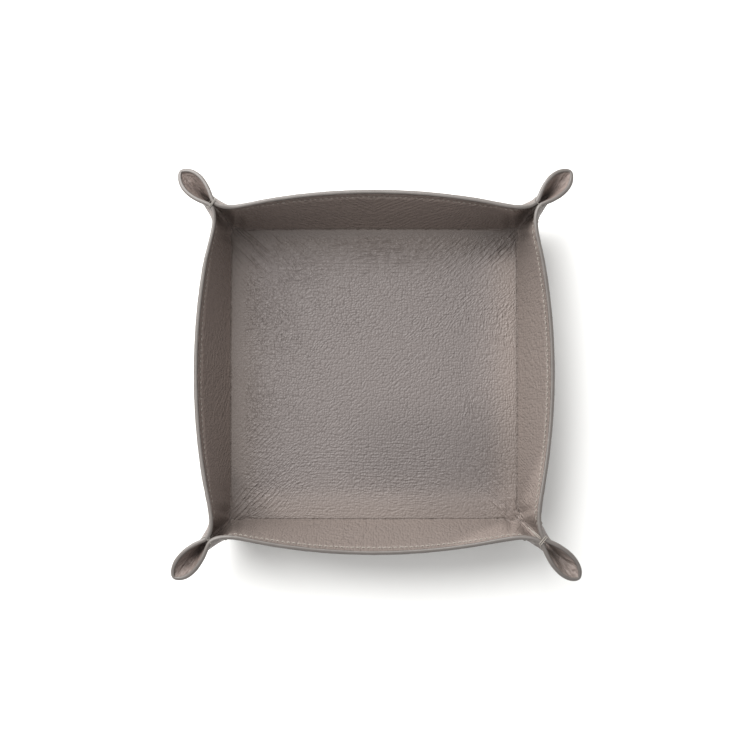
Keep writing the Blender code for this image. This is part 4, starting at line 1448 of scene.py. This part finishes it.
@dataclass(frozen=True)
class PaintFinish:
    """Acrylic edge paint, burnished by hand: nearly smooth, with faint streaks.

    Attributes:
        color: Base colour, linear.
        roughness: Its roughness.
        streaks: Scale of the streaks per metre.
        shades: Share of the colour in the dark and the light streaks.
        lumps: Scale of the fine unevenness per metre.
        bump: Height of the unevenness in metres, and its strength.
    """

    color: Colour
    roughness: float = 0.42
    streaks: float = 320.0
    shades: tuple[float, float] = (0.88, 1.12)
    lumps: float = 900.0
    bump: tuple[float, float] = (0.1 * MM, 0.5)

    def make(self, name: str) -> bpy.types.Material:
        """Wire faint tone changes and a fine unevenness.

        Args:
            name: The material's name.

        Returns:
            The material.
        """
        w = Wiring(name)
        place = w.place()
        color = w.tint(w.noise(place, self.streaks, 3.0), self.color, *self.shades)
        bump = w.bump(w.noise(place, self.lumps), *self.bump)
        return w.finish(Base_Color=color, Roughness=self.roughness, Normal=bump)


@dataclass(frozen=True)
class ThreadFinish:
    """Bonded polyester thread: plies twisted round it, seen as slanting ridges.

    Attributes:
        color: Base colour, linear.
        roughness: Its roughness.
        plies: Plies that cross it per millimetre, and in one turn round it.
        shades: Share of the colour in the painted shade between the plies and on them.
        bump: Height of the plies in metres, and its strength.
    """

    color: Colour
    roughness: float = 0.6
    plies: tuple[float, float] = (1.1, 3.0)
    shades: tuple[float, float] = (0.72, 1.08)
    bump: tuple[float, float] = (0.12 * MM, 0.8)

    def make(self, name: str) -> bpy.types.Material:
        """Wire the twist, |sin|, on the cord's own UV map: millimetres along it, and share round it.

        Args:
            name: The material's name.

        Returns:
            The material.
        """
        w = Wiring(name)
        along, around, _ = w.split(w.uv("cord"))
        slant = w.times(along, self.plies[0], w.math("MULTIPLY", around, self.plies[1]))
        ply = w.math("ABSOLUTE", w.math("SINE", w.math("MULTIPLY", slant, math.pi)))
        # The grooves between the plies are painted darker, as shade.
        color = w.tint(ply, self.color, *self.shades)
        return w.finish(Base_Color=color, Roughness=self.roughness, Normal=w.bump(ply, *self.bump))


@dataclass(frozen=True)
class BoardFinish:
    """Grey fibre board: pressed fibres on a dull ground.

    Attributes:
        color: Base colour, linear.
        roughness: Its roughness.
        fibres: Scale of the fibres per metre.
        drawn_out: By what they are drawn out along y.
        shades: Share of the colour between the fibres and on them.
        bump: Height of the fibres in metres, and its strength.
    """

    color: Colour
    roughness: float = 0.85
    fibres: float = 900.0
    drawn_out: float = 0.3
    shades: tuple[float, float] = (0.75, 1.2)
    bump: tuple[float, float] = (0.1 * MM, 0.4)

    def make(self, name: str) -> bpy.types.Material:
        """Wire speckled fibres, drawn out one way.

        Args:
            name: The material's name.

        Returns:
            The material.
        """
        w = Wiring(name)
        fibres = w.noise(w.vector("MULTIPLY", w.place(), (1.0, self.drawn_out, 1.0)), self.fibres, 4.0)
        color = w.tint(fibres, self.color, *self.shades)
        return w.finish(Base_Color=color, Roughness=self.roughness, Normal=w.bump(fibres, *self.bump))


class Finishes:
    """Every finish on the tray, made once."""

    def __init__(self) -> None:
        """Make the materials."""
        self.lining = LeatherFinish((0.138, 0.114, 0.103)).make("lining leather")
        self.cover = LeatherFinish((0.138, 0.114, 0.103), relief=0.13 * MM).make("cover leather")
        self.paint = PaintFinish((0.105, 0.093, 0.085)).make("edge paint")
        self.thread = ThreadFinish((0.27, 0.245, 0.215)).make("thread")
        # A darker copy of the pale thread: painted shade, for the tacks at the corners whose walls face away
        # from the light.
        self.shade_painted = ThreadFinish((0.17, 0.155, 0.137), roughness=0.5).make("waxed thread")
        self.board = BoardFinish((0.33, 0.30, 0.26)).make("fibre board")


@dataclass
class Leathers:
    """The lining and the cover: the two skins of the tray."""

    form: Form
    finishes: Finishes

    # Stops of the mesh, each a place and the steps up to it: along the rim in metres, and in millimetres
    # up the wall and in from the crease.
    STRAIGHT = (50 * MM, 22)
    CORNER_STEPS, PINCH_STEPS, EAR_STEPS = 18, 34, 52
    TOP = WALL_SLANT / MM
    FINE_HEIGHTS = ((0, 0), (0.6, 2), (4.0, 9), (TOP - 8, 28), (TOP - 5, 8), (TOP - 2, 10), (TOP, 5))
    FINE_INSETS = ((0, 0), (0.7, 5), (2.4, 3), (20, 10), (BASE_HALF / MM, 6))
    COARSE_HEIGHTS = ((0, 0), (2.4, 2), (TOP - 6.5, 3), (TOP, 2))
    COARSE_INSETS = ((0, 0), (2.4, 2), (BASE_HALF / MM, 2))
    # How far the grain is drawn together on the lining's walls, where it eases, and on the cover's.
    WALL_GRAIN = 0.5
    CORNER_GRAIN = 0.25
    CORNER_GRAIN_REACH = 32 * MM
    COVER_GRAIN = 0.9

    def columns(self) -> Array:
        """Set the mesh columns: wide apart along the walls, close together in the folds.

        Returns:
            Distances along the rim.
        """
        pinch, end = self.form.pinch_at, self.form.rim.length
        corner = (CORNER_SHARE * pinch, self.CORNER_STEPS)
        return spans((0, 0), self.STRAIGHT, corner, (pinch, self.PINCH_STEPS), (end, self.EAR_STEPS))

    def _mesh(self, heights: Sequence[tuple[float, int]], insets: Sequence[tuple[float, int]]) -> Skin:
        """Mesh the whole surface, with rows at stops up the wall and in from the crease."""
        return SkinBuilder(self.form, self.columns(), spans(*heights) / self.TOP, spans(*insets) * MM).build()

    def build(self) -> list[bpy.types.Object]:
        """Build both skins, each a fine face and a coarse hidden back, joined at the rim.

        Returns:
            The lining and the cover.
        """
        fine = self._mesh(self.FINE_HEIGHTS, self.FINE_INSETS)
        coarse = self._mesh(self.COARSE_HEIGHTS, self.COARSE_INSETS)
        lining = self._skin("tray_lining", Side.INNER, fine, coarse, self.finishes.lining)
        cover = self._skin("tray_cover", Side.OUTER, fine, coarse, self.finishes.cover)
        for made, node in ((lining, "inner_leather"), (cover, "outer_leather")):
            dressed(made, node)
        return [lining, cover]

    def _skin(
        self, name: str, side: Side, fine: Skin, coarse: Skin, material: bpy.types.Material
    ) -> bpy.types.Object:
        """Offset the fine skin to the visible face and the coarse one to the glued back.

        Args:
            name: The piece's name.
            side: Which leather.
            fine: The skin of the visible face.
            coarse: The skin of the back.
            material: The leather.

        Returns:
            The piece, with the grain's maps on its points.
        """
        relief = Relief(self.form).height(fine.blank, side)
        face = fine.points + fine.steps * ((fine.gaps + LEATHER + relief) * side.value)[:, None]
        back = coarse.points + coarse.steps * (coarse.gaps * side.value)[:, None]
        count = len(face)
        after = np.roll(fine.loop, -1), np.roll(coarse.loop, -1) + count
        edge = np.stack((fine.loop, coarse.loop + count, after[1], after[0]), axis=1)
        faces, backs = fine.faces, coarse.faces[:, ::-1] + count
        if side is Side.OUTER:
            faces, backs, edge = faces[:, ::-1], backs[:, ::-1], edge[:, ::-1]
        split = self._split(np.concatenate((faces, backs, edge)))
        made = finished_mesh(name, settle(np.concatenate((face, back))), split, material)

        blank = np.concatenate((fine.blank, coarse.blank))
        grain = GrainMap(blank, self.form)
        inside = np.clip(blank, -BASE_HALF, BASE_HALF)
        beyond = ease((np.abs(blank[:, ::-1]) - BASE_HALF) / self.CORNER_GRAIN_REACH)
        # The lining takes the painted light and shade; the cover's colour is left plain.
        share, painted_light_and_shade = self.WALL_GRAIN + self.CORNER_GRAIN * beyond, grain.painted_light_and_shade()
        if side is Side.OUTER:
            share, painted_light_and_shade = self.COVER_GRAIN, np.ones_like(painted_light_and_shade)
        point_uv(made.data, "blank", inside + (blank - inside) * share)
        maps = {"flow": grain.flow(), "folds": grain.folds(), "grain": grain.masks(), "painted_light_and_shade": painted_light_and_shade}
        for kind, values in maps.items():
            point_vectors(made.data, kind, values)
        return made

    @staticmethod
    def _split(faces: Array) -> tuple[Array, Array]:
        """Part whole quads from those with two corners welded, which become triangles.

        Args:
            faces: Rows of four point numbers.

        Returns:
            The quads and the triangles.
        """
        same = faces == np.roll(faces, -1, axis=1)
        welded = same.sum(axis=1)
        triangles = faces[welded == 1][~same[welded == 1]].reshape(-1, 3)
        return faces[welded == 0], triangles


def ring_faces(n: int, m: int, closed: bool) -> tuple[Array, Array]:
    """Join rings of points: ring i's point j to its neighbours j + 1 and ring i + 1.

    Args:
        n: Number of rings.
        m: Points in each.
        closed: Whether the last ring joins the first.

    Returns:
        The quads, and the two end caps as faces of m corners.
    """
    index = np.arange(n * m).reshape(n, m)
    if closed:
        index = np.concatenate((index, index[:1]))
    around = np.roll(index, -1, axis=1)
    quads = np.stack((index[:-1], around[:-1], around[1:], index[1:]), axis=-1).reshape(-1, 4)
    return quads, np.stack((index[0][::-1], index[-1]))


@dataclass
class RimEdge:
    """The painted edge: a rounded bead over both leathers, all round the rim and the ears."""

    form: Form
    finishes: Finishes

    PROFILE = 9
    ROWS = (0.0, 0.97, 1.0)
    OVERLAP = 0.06 * MM
    FOOT_DROP = 0.25 * MM
    ROUNDNESS = 0.7
    UNDER_DROP = 0.15 * MM
    UNDER_SHARE = 0.8
    WIDTH_LUMPS = (0.06, 3.5, 0.0)
    HEIGHT_LUMPS = (0.10, 5.0, 9.5)
    SEED = 31

    def build(self, columns: Array) -> bpy.types.Object:
        """Sweep a half ellipse along the rim, a little uneven, with its foot just below the leathers' edge.

        Its profile is (width cos t, height sin^0.7 t - foot (1 - sin t)), with t from 0 to half a turn.

        Args:
            columns: Distances along the rim, as the leathers have.

        Returns:
            The edge.
        """
        insets = np.array((0.0, BASE_HALF))
        skin = SkinBuilder(self.form, columns, np.array(self.ROWS), insets).build()
        rim, normal = skin.points[skin.loop], skin.normals[skin.loop]
        along = unit(np.roll(rim, -1, axis=0) - np.roll(rim, 1, axis=0))
        normal = unit(normal - along * np.sum(normal * along, axis=1, keepdims=True))
        outwards = np.cross(along, normal)
        place = np.cumsum(np.linalg.norm(rim - np.roll(rim, 1, axis=0), axis=1)) / MM
        noise = Noise(self.SEED)
        wide, high = (
            (1 + share * noise(place / cell, np.full_like(place, row)))[:, None]
            for share, cell, row in (self.WIDTH_LUMPS, self.HEIGHT_LUMPS)
        )
        turn = np.linspace(0, math.pi, self.PROFILE)[None, :]
        across = np.cos(turn) * (STACK_HALF + self.OVERLAP) * wide
        rise = np.sin(turn) ** self.ROUNDNESS * (GLUE_GAP + PAINT_HEIGHT) * high
        rise = rise - self.FOOT_DROP * (1 - np.sin(turn))
        under = np.array((-1.0, 1.0)) * self.UNDER_SHARE * STACK_HALF
        across = np.concatenate((across, np.broadcast_to(under, (len(rim), 2))), axis=1)
        rise = np.concatenate((rise, np.full((len(rim), 2), -self.UNDER_DROP)), axis=1)
        rings = rim[:, None] + normal[:, None] * across[..., None] + outwards[:, None] * rise[..., None]
        quads, _ = ring_faces(*rings.shape[:2], True)
        made = finished_mesh("rim_edge_paint", settle(rings).reshape(-1, 3), [quads], self.finishes.paint)
        return dressed(made, "edge_paint")


@dataclass(frozen=True)
class Cord:
    """Round thread swept along lines.

    Attributes:
        radius: Thread radius in metres.
        sides: Corners of its section.
    """

    radius: float
    sides: int = 8

    def rings(self, line: Array, face_way: Array, closed: bool) -> Array:
        """Set a ring round each point of a line: side cos t + over sin t, at right angles to the line.

        Args:
            line: The line's points.
            face_way: A direction across the line, for all its points or for each.
            closed: Whether the line is a loop.

        Returns:
            The rings' points, by ring and corner.
        """
        ahead = np.roll(line, -1, axis=0) - np.roll(line, 1, axis=0) if closed else np.gradient(line, axis=0)
        ahead = unit(ahead)
        side = unit(np.cross(ahead, face_way))
        over = np.cross(ahead, side)
        turn = np.arange(self.sides) * 2 * math.pi / self.sides
        ring = side[:, None] * np.cos(turn)[:, None] + over[:, None] * np.sin(turn)[:, None]
        return line[:, None] + ring * self.radius

    def uv(self, line: Array) -> Array:
        """Distance along a line in millimetres, and the share of the way round, for each ring's corners."""
        along, around = Path(line).distance / MM, np.arange(self.sides) / self.sides
        return np.stack((np.repeat(along, self.sides), np.tile(around, len(line))), axis=-1)

    def make(
        self, name: str, lines: Sequence[Array], ways: Sequence[Array], closed: Sequence[bool],
        material: bpy.types.Material,
    ) -> bpy.types.Object:
        """Make one object of several cords.

        Args:
            name: The object's name.
            lines: The cords' lines.
            ways: A direction across each.
            closed: Whether each is a loop; the others are capped.
            material: The thread.

        Returns:
            The object.
        """
        points, quads, caps, first = [], [], [], 0
        for line, way, loop in zip(lines, ways, closed):
            rings = self.rings(line, way, loop)
            sides, ends = ring_faces(*rings.shape[:2], loop)
            points.append(rings.reshape(-1, 3))
            quads.append(sides + first)
            if not loop:
                caps.append(ends + first)
            first += len(points[-1])
        faces = [np.concatenate(kind) for kind in (quads, caps) if kind]
        made = finished_mesh(name, settle(np.concatenate(points)), faces, material)
        point_uv(made.data, "cord", np.concatenate([self.uv(line) for line in lines]))
        return made


@dataclass
class Seam:
    """One wall's row of lockstitches, on one side of the wall."""

    form: Form
    finishes: Finishes
    wall: Wall
    side: Side

    COLUMNS = 120
    RISE_STEP_SHARE = 0.01
    PITCH = 3.0 * MM
    LENGTH = 1.95 * MM
    RADIUS = 0.31 * MM
    TOP = 0.14 * MM
    DIVE = 0.72 * MM
    PULLED_IN = {Wall.right: 0.0, Wall.back: 0.37 * MM, Wall.left: 0.32 * MM, Wall.front: 0.0}
    SLANT = 0.10
    RINGS = 11
    # Spread of each stitch's place, height and slant.
    SHIFT_SPREAD = 0.05 * MM
    HEIGHT_SPREAD = 0.02 * MM
    SLANT_SPREAD = 0.04
    SEED = 40

    def line(self) -> tuple[Path, Array, Array]:
        """Draw the stitched line along the whole wall: half a wall's line, and its mirror image.

        Returns:
            The line, and for its points the normals and the ways up the wall.
        """
        columns = np.linspace(0, self.form.pinch_at - SEAM_END, self.COLUMNS + 1)
        share = 1 - SEAM_INSET / WALL_SLANT
        rows = np.array((share, share + self.RISE_STEP_SHARE))
        half, normal = self.form.middle(columns, rows), self.form.normals(columns, rows)[:, 0]
        rising = unit(half[:, 1] - half[:, 0])
        flip = np.array((1.0, -1.0, 1.0))
        whole, normal, rising = (np.concatenate((v[:0:-1] * flip, v)) for v in (half[:, 0], normal, rising))
        return Path(whole), normal, rising

    def build(self) -> bpy.types.Object:
        """Lay each stitch as a short arc of thread that dives into the leather at both ends.

        A stitch's height over the leather is h(t) = top - dive |t|^3, with t from -1 to 1.

        Returns:
            The stitches.
        """
        path, normal, rising = self.line()
        count = int(path.length // self.PITCH)
        centre = (np.arange(count) - (count - 1) / 2) * self.PITCH + path.length / 2
        seed = self.SEED + self.wall.value * 2 + (self.side is Side.INNER)
        chance = np.random.default_rng(seed)
        centre = centre + chance.normal(0, self.SHIFT_SPREAD, count)
        t = np.linspace(-1, 1, self.RINGS)
        at = centre[:, None] + t[None, :] * self.LENGTH / 2
        height = self.TOP - self.PULLED_IN[self.wall] - self.DIVE * np.abs(t) ** 3
        height = height[None, :] + chance.normal(0, self.HEIGHT_SPREAD, (count, 1))
        slant = self.SLANT + chance.normal(0, self.SLANT_SPREAD, (count, 1))
        slant = (t[None, :] * self.LENGTH / 2) * slant
        out = path.carry(normal, at)
        lift = (STACK_HALF + height) * self.side.value
        lines = path.at(at) + out * lift[..., None] + path.carry(rising, at) * slant[..., None]
        name = f"{self.wall.name}_{'needle' if self.side is Side.INNER else 'bobbin'}"
        lines, ways = turned(lines, self.wall.value), turned(out, self.wall.value)
        thread = self.finishes.thread
        made = Cord(self.RADIUS).make(f"{name}_stitches", lines, ways, [False] * count, thread)
        return dressed(made, f"{name}_thread")


@dataclass(frozen=True)
class TackStyle:
    """How one corner's tack was sewn by hand.

    Attributes:
        turns: Each turn's shift along the diagonal and its lean, in millimetres.
        sink: How deep the thread is pulled down between the rims, in millimetres.
        strands: Length of each strand that lies in the valley, and its side shift, in millimetres.
        knot: Size of the knot in the notch, in millimetres, or 0.
        pale: Whether the thread is pale, or the copy of it painted darker as shade.
    """

    turns: tuple[tuple[float, float], ...]
    sink: float = 0.0
    strands: tuple[tuple[float, float], ...] = ()
    knot: float = 0.0
    pale: bool = False


# Only the front-right tack, where both walls face the light, is pale; the other three take the thread painted
# darker as shade.
TACK_STYLES = {
    Corner.back_right: TackStyle(((0.0, 0.05),), sink=0.45, strands=((4.0, 0.1),)),
    Corner.back_left: TackStyle(((-0.28, 0.30), (0.30, 0.20)), strands=((5.0, -0.2),)),
    Corner.front_left: TackStyle(((0.1, -0.1),), sink=0.35, strands=((3.0, 0.2),), knot=1.5),
    Corner.front_right: TackStyle(
        ((-0.55, 0.25), (0.45, 0.25)), strands=((9.5, 0.35), (6.5, -0.3)), pale=True
    ),
}


@dataclass
class Tack:
    """The hand-sewn tack at one corner: turns of thread over both rims, and its tail in the valley."""

    form: Form
    finishes: Finishes
    corner: Corner

    RADIUS = 0.27 * MM
    HOLE_DEPTH = 4.2 * MM
    WALL_STEPS = 400
    PRESSED_SHARE = 0.8
    PEAK_SHARE = 0.75
    PEAK_SINK_SHARE = 0.4
    BEND = 1.1 * MM
    BEND_SHARE = 0.35
    BEND_STEPS = 8
    STRAIGHT_STEPS = 6
    STRAND_STEPS = 14
    STRAND_START = (-0.6 * MM, -0.5 * MM)
    STRAND_FALL = 0.75
    STRAND_WAVE = (0.5, 5.0)
    KNOT_STEPS = 40
    KNOT_CENTRE = (-0.8 * MM, -0.1 * MM)
    KNOT_RING = (0.62, 0.38, 0.4)
    KNOT_RISE = 0.35 * MM

    def hole(self) -> Array:
        """Find where the thread goes through the first corner's walls.

        Returns:
            The hole's middle, on the middle surface.
        """
        p0, p1, p2, p3 = self.form.cross_lines(np.array((self.form.pinch_at,)))
        line = Path(bezier(p0[0], p1[0], p2[0], p3[0], np.linspace(0, 1, self.WALL_STEPS)))
        return line.at(line.length - self.HOLE_DEPTH)

    def turn(self, shift: float, lean: float, sink: float) -> Array:
        """Draw one turn: up one wall's face, over both rims and down the other, moved along the diagonal.

        It is a loop of five corners, each rounded by a cubic curve, with straight stretches between.

        Args:
            shift: How far it lies beyond the pinch.
            lean: How much farther its first side lies.
            sink: How deep it is pulled down between the rims.

        Returns:
            The loop's points.
        """
        hole = self.hole()
        reach, clear = hole @ DIAGONAL, STACK_HALF + self.RADIUS * self.PRESSED_SHARE
        low, top = hole @ ACROSS + clear, PINCH_HALF + clear
        peak = PINCH_HEIGHT + GLUE_GAP + PAINT_HEIGHT + self.RADIUS * self.PEAK_SHARE
        peak -= sink * self.PEAK_SINK_SHARE
        corners = (
            spot(reach, low, hole[2]),
            spot(PINCH_REACH + shift + lean, top, peak),
            spot(PINCH_REACH + shift, 0.0, peak - sink),
            spot(PINCH_REACH + shift - lean, -top, peak),
            spot(reach, -low, hole[2]),
        )
        line = []
        for i, here in enumerate(corners):
            before, after = corners[i - 1], corners[(i + 1) % len(corners)]
            near = min(np.linalg.norm(before - here), np.linalg.norm(after - here))
            bend = min(self.BEND, self.BEND_SHARE * near)
            start, end = here + unit(before - here) * bend, here + unit(after - here) * bend
            line.append(bezier(start, here, here, end, np.linspace(0, 1, self.BEND_STEPS)))
            steps = np.linspace(0, 1, self.STRAIGHT_STEPS)[1:-1, None]
            line.append(end + (after - unit(after - here) * bend - end) * steps)
        return np.concatenate(line)

    def strand(self, length: float, side: float) -> Array:
        """Draw a tail from the notch down into the valley, slightly waved: side (1 + a sin ft).

        Args:
            length: How far it reaches.
            side: How far it lies to one side.

        Returns:
            The line's points.
        """
        t = np.linspace(0, 1, self.STRAND_STEPS)[:, None]
        (back, down), (wave, pace) = self.STRAND_START, self.STRAND_WAVE
        across = side * (1 + wave * np.sin(pace * t))
        height = PINCH_HEIGHT + down - t * length * self.STRAND_FALL
        return spot(PINCH_REACH + back - t * length, across, height)

    def knotted(self, size: float) -> Array:
        """Draw a closed curl in the notch: the radius (a + b cos(2t + c)) size / 2, rising with sin 3t.

        Args:
            size: The curl's width.

        Returns:
            The loop's points.
        """
        t = np.linspace(0, 2 * math.pi, self.KNOT_STEPS + 1)[:-1, None]
        (back, down), (middle, swing, start) = self.KNOT_CENTRE, self.KNOT_RING
        away = size / 2 * (middle + swing * np.cos(2 * t + start))
        height = PINCH_HEIGHT + down + self.KNOT_RISE * np.sin(3 * t)
        return spot(PINCH_REACH + back + away * np.cos(t), away * np.sin(t), height)

    def build(self) -> bpy.types.Object:
        """Lay the turns side by side, the strands in the valley, and the knot if there is one.

        Returns:
            The tack's thread.
        """
        style, quarter = TACK_STYLES[self.corner], self.corner.value
        sink = style.sink * MM
        cords = [(self.turn(shift * MM, lean * MM, sink), DIAGONAL, True) for shift, lean in style.turns]
        cords += [(self.strand(length * MM, side * MM), UP, False) for length, side in style.strands]
        if style.knot:
            cords.append((self.knotted(style.knot * MM), UP, True))
        lines, ways = ([turned(cord[part], quarter) for cord in cords] for part in (0, 1))
        closed = [cord[2] for cord in cords]
        material = self.finishes.thread if style.pale else self.finishes.shade_painted
        made = Cord(self.RADIUS).make(f"{self.corner.name}_tack_thread", lines, ways, closed, material)
        return dressed(made, f"{self.corner.name}_tack")


@dataclass(frozen=True)
class Boards:
    """The boards, which stay between the leathers as the CAD has them."""

    finishes: Finishes

    def build(self) -> list[bpy.types.Object]:
        """Give the boards their own finish.

        Returns:
            The boards.
        """
        boards = [node for name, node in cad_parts.items() if name.endswith("board")]
        for node in boards:
            for slot in node.material_slots:
                slot.material = self.finishes.board
        return boards


@dataclass(frozen=True)
class Studio:
    """Camera, soft window light from the top left, and a plain white table.

    Attributes:
        place: Where the camera stands.
        aim: What it looks at.
        lens: Its focal length in millimetres.
        toward_light: The way to the window.
        distance: How far off the window is.
        size: The window's width.
        power: Its light in watts.
        sky: Strength of the light from all sides.
        table_half: Half the table's width.
        table_low: How far the table lies under the tray.
        table_color: The table's colour.
        table_roughness: Its roughness.
        table_gloss: Strength of its reflection.
    """

    place: tuple[float, float, float] = (0.0, -0.033, 1.05)
    aim: tuple[float, float, float] = (0.00046, -0.0007, 0.0038)
    lens: float = 87.04
    toward_light: tuple[float, float, float] = (-0.482, 0.595, 0.643)
    distance: float = 1.3
    size: float = 1.6
    power: float = 49.0
    sky: float = 0.80
    table_half: float = 4.0
    table_low: float = 0.02 * MM
    table_color: Colour = (0.86, 0.86, 0.845)
    table_roughness: float = 0.9
    table_gloss: float = 0.1

    @staticmethod
    def _stand(name: str, data: bpy.types.ID, place: Vector, turn: Matrix | Quaternion) -> bpy.types.Object:
        """Put a camera or a light in its place.

        Args:
            name: Its name.
            data: The camera or the light.
            place: Where it stands.
            turn: How it is turned.

        Returns:
            The object.
        """
        made = bpy.data.objects.new(name, data)
        bpy.context.collection.objects.link(made)
        made.location, made.rotation_euler = place, turn.to_euler()
        return made

    def camera(self) -> None:
        """Look straight down, with the picture's top towards the back wall."""
        data = bpy.data.cameras.new("camera")
        data.lens = self.lens
        back = (Vector(self.place) - Vector(self.aim)).normalized()
        right = Vector((0, 1, 0)).cross(back).normalized()
        turn = Matrix((right, back.cross(right), back)).transposed()
        bpy.context.scene.camera = self._stand("camera", data, Vector(self.place), turn)

    def lights(self) -> None:
        """Hang one large area light, and light all sides by a white sky."""
        data = bpy.data.lights.new("window", "AREA")
        data.shape, data.size, data.energy = "DISK", self.size, self.power
        toward = Vector(self.toward_light).normalized()
        self._stand("window", data, toward * self.distance, toward.to_track_quat("Z", "Y"))
        world = bpy.data.worlds.new("sky")
        bpy.context.scene.world = world
        world.use_nodes = True
        color, strength = world.node_tree.nodes["Background"].inputs[:2]
        color.default_value, strength.default_value = (1.0, 1.0, 1.0, 1.0), self.sky

    def table(self) -> None:
        """Lay a wide matt white table top under the tray."""
        around = ((-1, -1), (1, -1), (1, 1), (-1, 1))
        corners = np.array([(x * self.table_half, y * self.table_half, -self.table_low) for x, y in around])
        look = {"Roughness": self.table_roughness, "Specular_IOR_Level": self.table_gloss}
        material = Wiring("white table").finish(Base_Color=(*self.table_color, 1.0), **look)
        finished_mesh("table_top", corners, [np.arange(4)[None, :]], material)

    def build(self) -> None:
        """Set up the picture."""
        self.camera()
        self.lights()
        self.table()
        bpy.context.scene.view_settings.view_transform = "Standard"


def main() -> None:
    """Build the picture and every piece of the tray, in order, and report them."""
    Studio().build()
    form, finishes = Form(), Finishes()
    leathers = Leathers(form, finishes)
    pieces = leathers.build()
    pieces.append(RimEdge(form, finishes).build(leathers.columns()))
    pieces += [Seam(form, finishes, wall, side).build() for wall in Wall for side in Side]
    pieces += [Tack(form, finishes, corner).build() for corner in Corner]
    pieces += Boards(finishes).build()
    for piece in pieces:
        LOG.info("%s: %d faces, %d points", piece.name, len(piece.data.polygons), len(piece.data.vertices))


if __name__ == "__main__":
    main()
